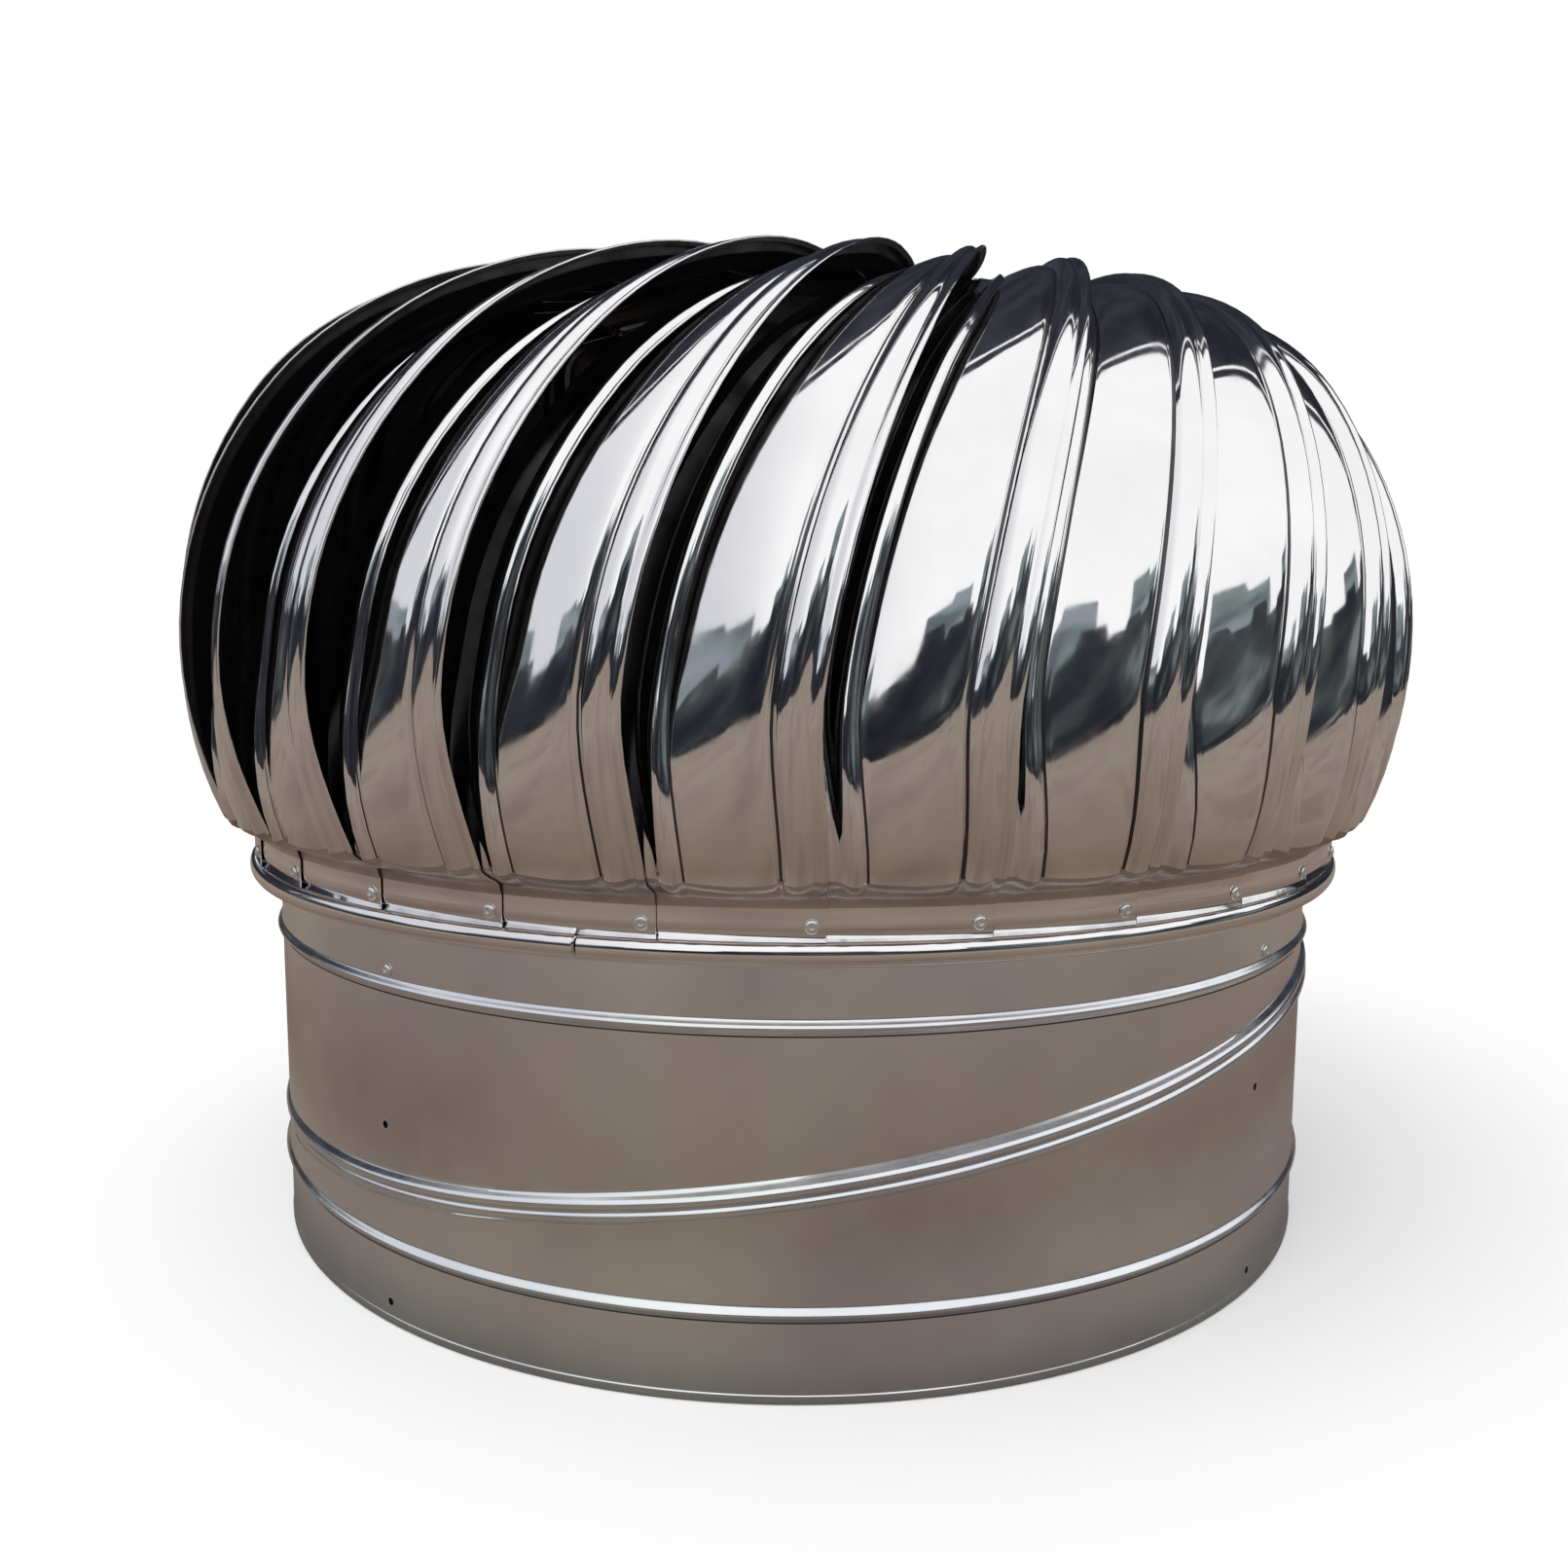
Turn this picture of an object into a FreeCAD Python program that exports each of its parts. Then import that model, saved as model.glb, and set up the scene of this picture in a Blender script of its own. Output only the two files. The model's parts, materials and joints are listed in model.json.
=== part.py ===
import FreeCAD, Part
import math
import operator
import os
import Sketcher
from FreeCAD import Placement, Rotation, Vector

doc = FreeCAD.newDocument("RoofTurbineVentilator")
sheet = doc.addObject("Spreadsheet::Sheet", "Sizes")


class Size:
    """A size with its value and the formula that ties it to the driving dimensions."""

    def __init__(self, value, formula):
        self.value = value
        self.formula = formula

    def __add__(self, other):
        return joined(self, "+", other)

    def __radd__(self, other):
        return joined(other, "+", self)

    def __sub__(self, other):
        return joined(self, "-", other)

    def __rsub__(self, other):
        return joined(other, "-", self)

    def __mul__(self, other):
        return joined(self, "*", other)

    def __rmul__(self, other):
        return joined(other, "*", self)

    def __truediv__(self, other):
        return joined(self, "/", other)

    def __neg__(self):
        return joined(0, "-", self)


SIGNS = {"+": operator.add, "-": operator.sub, "*": operator.mul, "/": operator.truediv}


def plain(number):
    """A size as it is, or a plain number as a size."""
    return number if isinstance(number, Size) else Size(float(number), repr(float(number)))


def joined(left, sign, right):
    a = plain(left)
    b = plain(right)
    return Size(SIGNS[sign](a.value, b.value), "(%s %s %s)" % (a.formula, sign, b.formula))


def size(alias, value):
    """Enter a driving dimension in the sheet and return it."""
    row = size.row = getattr(size, "row", 0) + 1
    sheet.set("A%d" % row, alias)
    sheet.set("B%d" % row, str(value))
    sheet.setAlias("B%d" % row, alias)
    return Size(float(value), "Sizes." + alias)


def tangent(angle):
    return Size(math.tan(math.radians(angle.value)), "tan(%s)" % angle.formula)


def leg(hypotenuse, other):
    """The second leg of a right triangle, as where a flat face meets a round wall."""
    value = math.sqrt(hypotenuse.value ** 2 - other.value ** 2)
    return Size(value, "sqrt(%s ^ 2 - %s ^ 2)" % (hypotenuse.formula, other.formula))


# Neck: a tube in two halves that swivel on an oblique seam
neck_radius = size("neck_radius", 300.0)
neck_sheet = size("neck_sheet", 0.8)
bead_height = size("bead_height", 7.0)
bead_proud = size("bead_proud", 2.6)
lower_bead_middle = size("lower_bead_middle", 41.0)
seam_tilt = size("seam_tilt", 9.1)
seam_azimuth = size("seam_azimuth", 110.0)
low_side_wall = size("low_side_wall", 19.5)
high_side_wall = size("high_side_wall", 8.0)
spigot_height = size("spigot_height", 42.0)

# Seam: a flange on the lower half turns inside a rolled channel on the upper half
seam_inset = size("seam_inset", 0.4)
seam_neck_offset = size("seam_neck_offset", 1.4)
seam_bead_offset = size("seam_bead_offset", 4.8)
seam_bead_height = size("seam_bead_height", 7.6)
seam_clearance = size("seam_clearance", 0.5)
seam_flange_reach = size("seam_flange_reach", 2.4)

# Screw holes for fixing the neck and for locking the seam
screw_hole = size("screw_hole", 4.0)
screw_azimuth = size("screw_azimuth", 50.0)
foot_screw_height = size("foot_screw_height", 11.0)
lock_screw_from_seam = size("lock_screw_from_seam", 29.0)
SCREW_WAYS = 4

# Support arms, riveted inside the spigot, and their hub
arm_width = size("arm_width", 30.0)
arm_metal = size("arm_metal", 3.0)
arm_azimuth = size("arm_azimuth", 51.0)
arm_rivet_above_bead = size("arm_rivet_above_bead", 7.0)
arm_foot_drop = size("arm_foot_drop", 7.0)
arm_foot_rise = size("arm_foot_rise", 18.0)
hub_plate_side = size("hub_plate_side", 92.0)
hub_plate_metal = size("hub_plate_metal", 4.0)
hub_boss_radius = size("hub_boss_radius", 18.0)
hub_boss_drop = size("hub_boss_drop", 16.0)
seat_gap = size("seat_gap", 0.05)
foot_gap = size("foot_gap", 0.2)
ARMS = 4

# Shaft, races and spacer
shaft_radius = size("shaft_radius", 10.0)
shaft_collar_radius = size("shaft_collar_radius", 13.0)
shaft_collar_length = size("shaft_collar_length", 36.0)
shaft_tail = size("shaft_tail", 16.0)
shaft_end = size("shaft_end", 1.0)
fit_gap = size("fit_gap", 0.05)
race_length = size("race_length", 14.0)
race_outer_radius = size("race_outer_radius", 23.5)
race_inner_wall = size("race_inner_wall", 4.2)
race_gap = size("race_gap", 0.3)
race_side_gap = size("race_side_gap", 0.5)
housing_wall = size("housing_wall", 4.5)
housing_plate_metal = size("housing_plate_metal", 8.0)
housing_hole = size("housing_hole", 18.0)
nut_corner_radius = size("nut_corner_radius", 15.5)
nut_length = size("nut_length", 5.0)

# Rotor base ring, which runs round the spigot
ring_running_gap = size("ring_running_gap", 4.0)
ring_band_offset = size("ring_band_offset", 10.5)
ring_sheet = size("ring_sheet", 0.8)
ring_above_neck_bead = size("ring_above_neck_bead", 29.0)
ring_bead_height = size("ring_bead_height", 11.0)
ring_bead_flat = size("ring_bead_flat", 5.5)
ring_bead_proud = size("ring_bead_proud", 4.6)
ring_band_height = size("ring_band_height", 31.0)
ring_joint_gap = size("ring_joint_gap", 1.4)
ring_joint_azimuth = size("ring_joint_azimuth", -17.0)

# Head: the round outline that the outer edges of the vanes follow
head_radius = size("head_radius", 348.0)
head_middle_above_ring = size("head_middle_above_ring", 128.0)
side_arc = size("side_arc", 213.0)
shoulder_arc = size("shoulder_arc", 142.0)
shoulder_start = size("shoulder_start", 36.6)

# Vanes
vane_sheet = size("vane_sheet", 0.6)
vane_tab_height = size("vane_tab_height", 16.0)
vane_rivet_rise = size("vane_rivet_rise", 6.7)
vane_tab_overlap = size("vane_tab_overlap", 12.0)
vane_tab_tuck = size("vane_tab_tuck", 1.2)
vane_tuck = size("vane_tuck", 22.0)
vane_rib_height = size("vane_rib_height", 3.0)
vane_slot = size("vane_slot", 8.0)
vane_lap = size("vane_lap", 16.0)
crown_twist_angle = size("crown_twist_angle", 43.0)
vane_layer_gap = size("vane_layer_gap", 0.1)
vane_azimuth = size("vane_azimuth", 1.2)
VANES = 28

# Top disc
tip_radius = size("tip_radius", 118.0)
top_disc_radius = size("top_disc_radius", 149.0)
top_disc_metal = size("top_disc_metal", 1.5)
top_disc_rib = size("top_disc_rib", 4.0)
top_disc_rib_radius = size("top_disc_rib_radius", 96.0)

# Spokes of the rotor
spoke_width = size("spoke_width", 28.0)
spoke_metal = size("spoke_metal", 3.0)
SPOKES = 4

# Fasteners
rivet_radius = size("rivet_radius", 3.2)
rivet_head = size("rivet_head", 1.4)
bolt_corner_radius = size("bolt_corner_radius", 5.8)
bolt_head = size("bolt_head", 4.0)
housing_bolt_azimuth = size("housing_bolt_azimuth", 45.0)
bolt_circle = size("bolt_circle", 37.0)
bolt_edge = size("bolt_edge", 13.0)

doc.recompute()

# Heights, each from what lies below it
seam_rise = neck_radius * tangent(seam_tilt)
bead_half = bead_height / 2
seam_middle = lower_bead_middle + bead_half + low_side_wall + seam_rise
neck_bead_middle = seam_middle + seam_rise + high_side_wall
neck_top = neck_bead_middle + spigot_height
ring_bottom = neck_bead_middle + ring_above_neck_bead
tab_bottom = ring_bottom + ring_bead_height
tab_top = tab_bottom + vane_tab_height
head_middle = ring_bottom + head_middle_above_ring
arm_rivet_height = neck_bead_middle + arm_rivet_above_bead
arm_top = arm_rivet_height + arm_foot_rise
lower_race_bottom = arm_top - arm_metal + shaft_collar_length
vane_rivet_height = tab_bottom + vane_rivet_rise

# The head's outline: a side arc, a shoulder arc tangent to it, then a flat crown
side_centre = head_radius.value - side_arc.value
shoulder_turn = math.radians(shoulder_start.value)
arc_step = side_arc.value - shoulder_arc.value
shoulder_centre = side_centre + arc_step * math.cos(shoulder_turn)
shoulder_centre_height = head_middle.value + arc_step * math.sin(shoulder_turn)
crown = Size(
    shoulder_centre_height + shoulder_arc.value,
    "(%s + (%s - %s) * sin(%s) + %s)"
    % (
        head_middle.formula,
        side_arc.formula,
        shoulder_arc.formula,
        shoulder_start.formula,
        shoulder_arc.formula,
    ),
)
top_disc_bottom = crown + vane_layer_gap
top_disc_top = top_disc_bottom + top_disc_metal
housing_top = top_disc_bottom - seat_gap
upper_race_top = housing_top - housing_plate_metal

XZ = "XZ_Plane"
NODES = []


def keep(thing):
    """Count a finished sub-part, which is written out under its label."""
    NODES.append(thing)
    return thing


def origin_plane(body, role):
    return next(f for f in body.Origin.OriginFeatures if f.Role == role)


def outline_sketch(body, name, role, corners):
    """A closed outline of straight edges, each corner tied to its two sizes."""
    sketch = body.newObject("Sketcher::SketchObject", name)
    sketch.AttachmentSupport = [(origin_plane(body, role), "")]
    sketch.MapMode = "FlatFace"
    points = [Vector(plain(a).value, plain(b).value, 0) for a, b in corners]
    count = len(corners)
    for i in range(count):
        sketch.addGeometry(Part.LineSegment(points[i], points[(i + 1) % count]), False)
    for i in range(count):
        sketch.addConstraint(Sketcher.Constraint("Coincident", i, 2, (i + 1) % count, 1))
    for i, (across, up) in enumerate(corners):
        for kind, place in (("DistanceX", plain(across)), ("DistanceY", plain(up))):
            at = sketch.addConstraint(Sketcher.Constraint(kind, -1, 1, i, 1, place.value))
            sketch.setExpression("Constraints[%d]" % at, place.formula)
    return sketch


def turned(label, corners, placement=None):
    """A body turned round its own upright axis from a closed outline of (radius, height)."""
    body = doc.addObject("PartDesign::Body", label.title().replace("_", ""))
    body.Label = label
    sketch = outline_sketch(body, body.Name + "Outline", XZ, corners)
    turn = body.newObject("PartDesign::Revolution", body.Name + "Turn")
    turn.Profile = sketch
    turn.ReferenceAxis = (sketch, ["V_Axis"])
    turn.Angle = 360.0
    sketch.Visibility = False
    body.Tip = turn
    if placement is not None:
        body.Placement = placement
    return body


def bent_strip(label, corners, width):
    """A strip bent from flat bar: its side view, drawn out to its width both ways."""
    body = doc.addObject("PartDesign::Body", label.title().replace("_", ""))
    body.Label = label
    sketch = outline_sketch(body, body.Name + "Side", XZ, corners)
    pad = body.newObject("PartDesign::Pad", body.Name + "Width")
    pad.Profile = sketch
    pad.setExpression("Length", width.formula)
    pad.Length = width.value
    pad.SideType = "Symmetric"
    body.Tip = pad
    return body


def around(azimuth):
    """Turned about the upright axis: azimuth 0 faces -Y, and grows towards +X."""
    return Placement(Vector(0, 0, 0), Rotation(Vector(0, 0, 1), azimuth - 90.0))


def place_around(thing, azimuth):
    """Put a piece drawn along +X at an azimuth, tied to its formula."""
    azimuth = plain(azimuth)
    thing.Placement = around(azimuth.value)
    thing.setExpression("Placement.Rotation.Angle", "(%s - 90) * 1 deg" % azimuth.formula)
    return thing


def boolean(kind, name, label, pieces):
    """A cut of two shapes, or a fusion of several."""
    result = doc.addObject(kind, name)
    if kind == "Part::Cut":
        result.Base, result.Tool = pieces
    else:
        result.Shapes = pieces
    result.Label = label
    return result


# Seam frame: its axis stands square to the oblique seam, through the neck's own axis
high_side = math.radians(seam_azimuth.value)
tilt_axis = Vector(-math.cos(high_side), -math.sin(high_side), 0)
seam_place = Placement(Vector(0, 0, seam_middle.value), Rotation(tilt_axis, seam_tilt.value))


def tie_to_seam(thing):
    """Place a piece on the seam's own frame, tied to the seam's height and tilt."""
    thing.Placement = seam_place
    thing.setExpression("Placement.Base.z", seam_middle.formula)
    thing.setExpression("Placement.Rotation.Angle", seam_tilt.formula)
    thing.setExpression("Placement.Rotation.Axis.x", "-cos(%s)" % seam_azimuth.formula)
    thing.setExpression("Placement.Rotation.Axis.y", "-sin(%s)" % seam_azimuth.formula)
    return thing


def beyond_seam(name, offset, side):
    """A block that holds all that lies above the seam (side 1) or below it (side -1)."""
    block = doc.addObject("Part::Box", name)
    reach = neck_radius * 4
    for edge in ("Length", "Width", "Height"):
        block.setExpression(edge, reach.formula)
    low = -reach / 2
    floor = offset if side > 0 else offset - reach
    corner = Vector(low.value, low.value, floor.value)
    block.Placement = Placement(seam_place.multVec(corner), seam_place.Rotation)
    return block


def screw_drill(name, azimuth, height):
    """A drill for one screw hole, pointing in through the neck wall."""
    drill = doc.addObject("Part::Cylinder", name)
    drill.setExpression("Radius", (screw_hole / 2).formula)
    drill.Radius = screw_hole.value / 2
    drill.Height = neck_radius.value
    drill.setExpression("Height", neck_radius.formula)
    turn = Rotation(Vector(0, 0, 1), azimuth.value - 90.0)
    lie_down = Rotation(Vector(0, 1, 0), 90)
    reach = turn.multVec(Vector(neck_radius.value / 2, 0, 0))
    drill.Placement = Placement(reach + Vector(0, 0, height.value), turn * lie_down)
    return drill


# Lower neck: hangs the whole head on the roof's upstand
neck_inner = neck_radius - neck_sheet
tube_height = seam_middle + seam_rise * 2
lower_tube = turned(
    "lower_tube",
    [
        (neck_inner, 0),
        (neck_radius, 0),
        (neck_radius, lower_bead_middle - bead_half),
        (neck_radius + bead_proud, lower_bead_middle),
        (neck_radius, lower_bead_middle + bead_half),
        (neck_radius, tube_height),
        (neck_inner, tube_height),
    ],
)
seam_inner = neck_radius - seam_inset
seam_neck = neck_radius + seam_neck_offset
seam_bead_out = neck_radius + seam_bead_offset
flange_bottom = seam_clearance * 2 + neck_sheet
flange_top = flange_bottom + neck_sheet
flange_radius = seam_neck + seam_flange_reach
lower_seam = tie_to_seam(
    turned(
        "lower_seam",
        [
            (seam_inner, -seam_bead_height),
            (seam_bead_out, -seam_bead_height / 2),
            (seam_neck, 0),
            (seam_neck, flange_bottom),
            (flange_radius, flange_bottom),
            (flange_radius, flange_top),
            (seam_inner, flange_top),
        ],
    )
)
lower_side = beyond_seam("AboveLowerSeam", -seam_bead_height / 2, 1)
lower_wall = boolean("Part::Cut", "LowerWall", "lower_wall", [lower_tube, lower_side])
lower_shell = boolean("Part::MultiFuse", "LowerShell", "lower_shell", [lower_wall, lower_seam])
foot_drills = [
    screw_drill("FootDrill%d" % k, screw_azimuth + 90 * k, foot_screw_height) for k in range(SCREW_WAYS)
]


def seam_height_at(azimuth):
    """Height of the seam over an azimuth of the neck."""
    swing = Size(
        math.cos(math.radians(azimuth.value - seam_azimuth.value)),
        "cos(%s - %s)" % (azimuth.formula, seam_azimuth.formula),
    )
    return seam_middle + seam_rise * swing


high_drills = [
    screw_drill("HighDrill%d" % k, way, seam_height_at(way) - lock_screw_from_seam)
    for k, way in enumerate((screw_azimuth, screw_azimuth + 90))
]
lower_drills = boolean("Part::MultiFuse", "LowerDrills", "lower_drills", foot_drills + high_drills)
lower_neck = keep(boolean("Part::Cut", "LowerNeck", "lower_neck", [lower_shell, lower_drills]))

# Upper neck: the spigot that the rotor runs round
spigot = turned(
    "spigot",
    [
        (neck_inner, 0),
        (neck_radius, 0),
        (neck_radius, neck_bead_middle - bead_half),
        (neck_radius + bead_proud, neck_bead_middle),
        (neck_radius, neck_bead_middle + bead_half),
        (neck_radius, neck_top),
        (neck_inner, neck_top),
    ],
)
channel_bottom = seam_clearance
channel_roof = flange_top + seam_clearance
channel_inner = flange_radius + seam_clearance
channel_out = channel_inner + neck_sheet
upper_seam = tie_to_seam(
    turned(
        "upper_seam",
        [
            (seam_neck + seam_clearance, channel_bottom),
            (channel_out, channel_bottom),
            (channel_out, channel_roof),
            (seam_inner, channel_roof + neck_sheet * 2),
            (seam_inner, channel_roof),
            (channel_inner, channel_roof),
            (channel_inner, channel_bottom + neck_sheet),
            (seam_neck + seam_clearance, channel_bottom + neck_sheet),
        ],
    )
)
upper_side = beyond_seam("BelowUpperSeam", channel_roof + neck_sheet / 4, -1)
upper_wall = boolean("Part::Cut", "UpperWall", "upper_wall", [spigot, upper_side])
upper_shell = boolean("Part::MultiFuse", "UpperShell", "upper_shell", [upper_wall, upper_seam])
low_drills = [
    screw_drill("LowDrill%d" % k, way, seam_height_at(way) + lock_screw_from_seam)
    for k, way in enumerate((screw_azimuth - 90, screw_azimuth + 180))
]
upper_drills = boolean("Part::MultiFuse", "UpperDrills", "upper_drills", low_drills)
upper_neck = keep(boolean("Part::Cut", "UpperNeck", "upper_neck", [upper_shell, upper_drills]))

# Support arms: flat bar from the hub to a foot against the spigot's inner wall
arm_face = leg(neck_inner, arm_width / 2) - foot_gap
arm_bottom = arm_top - arm_metal
arm_start = bolt_circle - bolt_edge
for k in range(ARMS):
    arm = bent_strip(
        "support_arm_%d" % (k + 1),
        [
            (arm_start, arm_bottom),
            (arm_face - arm_metal, arm_bottom),
            (arm_face - arm_metal, arm_rivet_height - arm_foot_drop),
            (arm_face, arm_rivet_height - arm_foot_drop),
            (arm_face, arm_top),
            (arm_start, arm_top),
        ],
        arm_width,
    )
    keep(place_around(arm, arm_azimuth + 90 * k))

# Arm hub: a square plate under the arms with a boss for the shaft
hub_top = arm_bottom - seat_gap
hub_bore = shaft_radius + fit_gap
hub_bottom = hub_top - hub_plate_metal - hub_boss_drop


def drum(name, radius, bottom, length):
    """A round block on the upright axis."""
    block = doc.addObject("Part::Cylinder", name)
    block.setExpression("Radius", radius.formula)
    block.setExpression("Height", length.formula)
    block.Placement.Base = Vector(0, 0, bottom.value)
    block.setExpression("Placement.Base.z", bottom.formula)
    return block


def square_plate(name, side, metal, bottom):
    """A square plate centred on the upright axis."""
    block = doc.addObject("Part::Box", name)
    block.setExpression("Length", side.formula)
    block.setExpression("Width", side.formula)
    block.setExpression("Height", metal.formula)
    block.Placement.Base = Vector(-side.value / 2, -side.value / 2, bottom.value)
    for edge, formula in (("x", (-side / 2).formula), ("y", (-side / 2).formula), ("z", bottom.formula)):
        block.setExpression("Placement.Base." + edge, formula)
    return block


hub_solid = boolean(
    "Part::MultiFuse",
    "HubSolid",
    "hub_solid",
    [
        square_plate("HubPlate", hub_plate_side, hub_plate_metal, hub_top - hub_plate_metal),
        drum("HubBoss", hub_boss_radius, hub_bottom, hub_boss_drop),
    ],
)
hub_drill = drum("HubDrill", hub_bore, hub_bottom - hub_plate_metal, hub_boss_drop + hub_plate_metal * 3)
keep(boolean("Part::Cut", "ArmHub", "arm_hub", [hub_solid, hub_drill]))

# Shaft: its collar stands on the hub and carries the lower race
shaft_nut_seat = upper_race_top
keep(
    turned(
        "shaft",
        [
            (0, hub_bottom - shaft_tail),
            (shaft_radius, hub_bottom - shaft_tail),
            (shaft_radius, hub_top),
            (shaft_collar_radius, hub_top),
            (shaft_collar_radius, lower_race_bottom),
            (shaft_radius, lower_race_bottom),
            (shaft_radius, shaft_nut_seat + nut_length + shaft_end),
            (0, shaft_nut_seat + nut_length + shaft_end),
        ],
    )
)


def ring_of(label, inner, outer, bottom, top):
    """A plain turned ring."""
    return turned(label, [(inner, bottom), (outer, bottom), (outer, top), (inner, top)])


# Spacer between the races, then one sealed bearing at each end of it
race_bore = shaft_radius + fit_gap
race_inner_out = race_bore + race_inner_wall
upper_race_bottom = upper_race_top - race_length
lower_race_top = lower_race_bottom + race_length
keep(ring_of("shaft_spacer", race_bore, shaft_collar_radius, lower_race_top, upper_race_bottom))


def pair_of_races(name, label, inner, outer, set_back):
    """The same race of both bearings, its ends set back from the bearing's own length."""
    low = ring_of(name + "_low", inner, outer, lower_race_bottom + set_back, lower_race_top - set_back)
    high = ring_of(name + "_high", inner, outer, upper_race_bottom + set_back, upper_race_top - set_back)
    pair = doc.addObject("Part::Compound", label.title().replace("_", ""))
    pair.Links = [low, high]
    pair.Label = label
    return pair


keep(pair_of_races("inner_race", "bearing_inner_races", race_bore, race_inner_out, 0))
race_running = race_inner_out + race_gap
keep(pair_of_races("outer_race", "bearing_outer_races", race_running, race_outer_radius, race_side_gap))


def hex_nut(name, seat):
    """A thin hexagon nut that stands on its seat."""
    block = doc.addObject("Part::Prism", name + "Block")
    block.Polygon = 6
    block.setExpression("Circumradius", nut_corner_radius.formula)
    block.setExpression("Height", nut_length.formula)
    block.Placement.Base = Vector(0, 0, seat.value)
    block.setExpression("Placement.Base.z", seat.formula)
    bore = drum(name + "Bore", shaft_radius + fit_gap, seat - nut_length, nut_length * 3)
    return boolean("Part::Cut", name, name, [block, bore])


shaft_nuts = doc.addObject("Part::Compound", "ShaftNuts")
shaft_nuts.Links = [hex_nut("UpperNut", upper_race_top), hex_nut("LowerNut", hub_bottom - nut_length)]
shaft_nuts.Label = "shaft_nuts"
keep(shaft_nuts)

# Bearing housings: the upper one hangs the rotor on its race, the lower one steadies it
housing_bore = race_outer_radius + fit_gap
housing_radius = housing_bore + housing_wall
housing_seat = race_length - race_side_gap + seat_gap
plate_metal = housing_plate_metal + race_side_gap - seat_gap


def bearing_housing(name, race_bottom):
    """A cup for a race under a square plate, which takes the bolts."""
    solid = boolean(
        "Part::MultiFuse",
        name + "Solid",
        name + "_solid",
        [
            drum(name + "Cup", housing_radius, race_bottom, housing_seat),
            square_plate(name + "Plate", hub_plate_side, plate_metal, race_bottom + housing_seat),
        ],
    )
    overrun = race_length
    seat = drum(name + "Seat", housing_bore, race_bottom - overrun, housing_seat + overrun)
    hole = drum(name + "Hole", housing_hole, race_bottom, race_length + housing_plate_metal + overrun)
    cuts = boolean("Part::MultiFuse", name + "Cuts", name + "_cuts", [seat, hole])
    return boolean("Part::Cut", name, name, [solid, cuts])


housings = doc.addObject("Part::Compound", "BearingHousings")
housings.Links = [
    bearing_housing("UpperHousing", upper_race_bottom),
    bearing_housing("LowerHousing", lower_race_bottom),
]
housings.Label = "bearing_housings"
keep(housings)
lower_housing_top = lower_race_top + housing_plate_metal

# Base ring: the band that carries the vanes, with a rolled bead and a lip round the spigot
band_inner = neck_radius + ring_band_offset
band_outer = band_inner + ring_sheet
ring_bead_out = band_outer + ring_bead_proud
ring_bead_middle = ring_bottom + ring_bead_height / 2
ring_hoop = turned(
    "ring_hoop",
    [
        (neck_radius + ring_running_gap, ring_bottom),
        (band_outer, ring_bottom),
        (ring_bead_out, ring_bead_middle - ring_bead_flat / 2),
        (ring_bead_out, ring_bead_middle + ring_bead_flat / 2),
        (band_outer, ring_bottom + ring_bead_height),
        (band_outer, ring_bottom + ring_band_height),
        (band_inner, ring_bottom + ring_band_height),
        (band_inner, ring_bottom + ring_sheet),
        (neck_radius + ring_running_gap, ring_bottom + ring_sheet),
    ],
)
joint_cut = doc.addObject("Part::Box", "RingJointCut")
joint_cut.setExpression("Length", (ring_bead_proud * 2).formula)
joint_cut.setExpression("Width", ring_joint_gap.formula)
joint_cut.setExpression("Height", (ring_bead_height + ring_sheet).formula)
joint_turn = Rotation(Vector(0, 0, 1), ring_joint_azimuth.value - 90.0)
joint_reach = joint_turn.multVec(Vector(band_outer.value + seat_gap.value, -ring_joint_gap.value / 2, 0))
joint_cut.Placement = Placement(
    joint_reach + Vector(0, 0, ring_bottom.value - ring_sheet.value), joint_turn
)
keep(boolean("Part::Cut", "BaseRing", "base_ring", [ring_hoop, joint_cut]))

# Spokes: flat bar from the lower housing to a foot inside the base ring
pitch = 360.0 / VANES
spoke_face = leg(band_inner, spoke_width / 2) - foot_gap
spoke_bottom = lower_housing_top + seat_gap
spoke_top = spoke_bottom + spoke_metal
spoke_foot = tab_bottom
for k in range(SPOKES):
    spoke = bent_strip(
        "rotor_spoke_%d" % (k + 1),
        [
            (arm_start, spoke_bottom),
            (spoke_face - spoke_metal, spoke_bottom),
            (spoke_face - spoke_metal, spoke_foot),
            (spoke_face, spoke_foot),
            (spoke_face, spoke_top),
            (arm_start, spoke_top),
        ],
        spoke_width,
    )
    keep(place_around(spoke, vane_azimuth + 90 * k))

# Vane: pressed sheet with a rib along each edge, tucked in on one side. A plain lap beyond the tucked
# edge runs on under the next vane, so air gets out between them and rain can't fall in.
# Its cross-section runs from the tucked edge at 0 to the free edge at 1, with the lap below 0.
vane_pitch_length = head_radius.value * math.radians(360.0 / VANES)
panel_share = 1 - vane_slot.value / vane_pitch_length
lap_share = vane_lap.value / (vane_pitch_length * panel_share)
FOLDS = (-lap_share, 0.0, 0.09, 0.18, 0.86, 1.0)
FOLD_LIFTS = (0.0, 0.0, 0.85, 0.1, 1.0, 0.0)
TWIST_POWER = 2.7
SIDE_TURNS = (-25.0, -4.0, 16.0, 36.0, 57.0, 78.0)
EASE_FLOOR = 0.45
TUCK_FULL_AT = 0.45
TIP_SHARE = 0.95


# The tabs lie round the band. Each is flat between its folds, so it stands off by the arc's rise.
layer = vane_sheet.value + vane_layer_gap.value
band_face = band_outer.value + layer
tab_share = (1 + vane_tab_overlap.value / (band_face * math.radians(pitch))) / (1 + lap_share)
widest_fold = max(there - here for here, there in zip(FOLDS, FOLDS[1:]))
widest_flat = widest_fold * tab_share * math.radians(pitch) * band_face
tab_radius = band_face + widest_flat ** 2 / (8 * band_face) + layer
even_middle = (1 - lap_share) / 2


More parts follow.
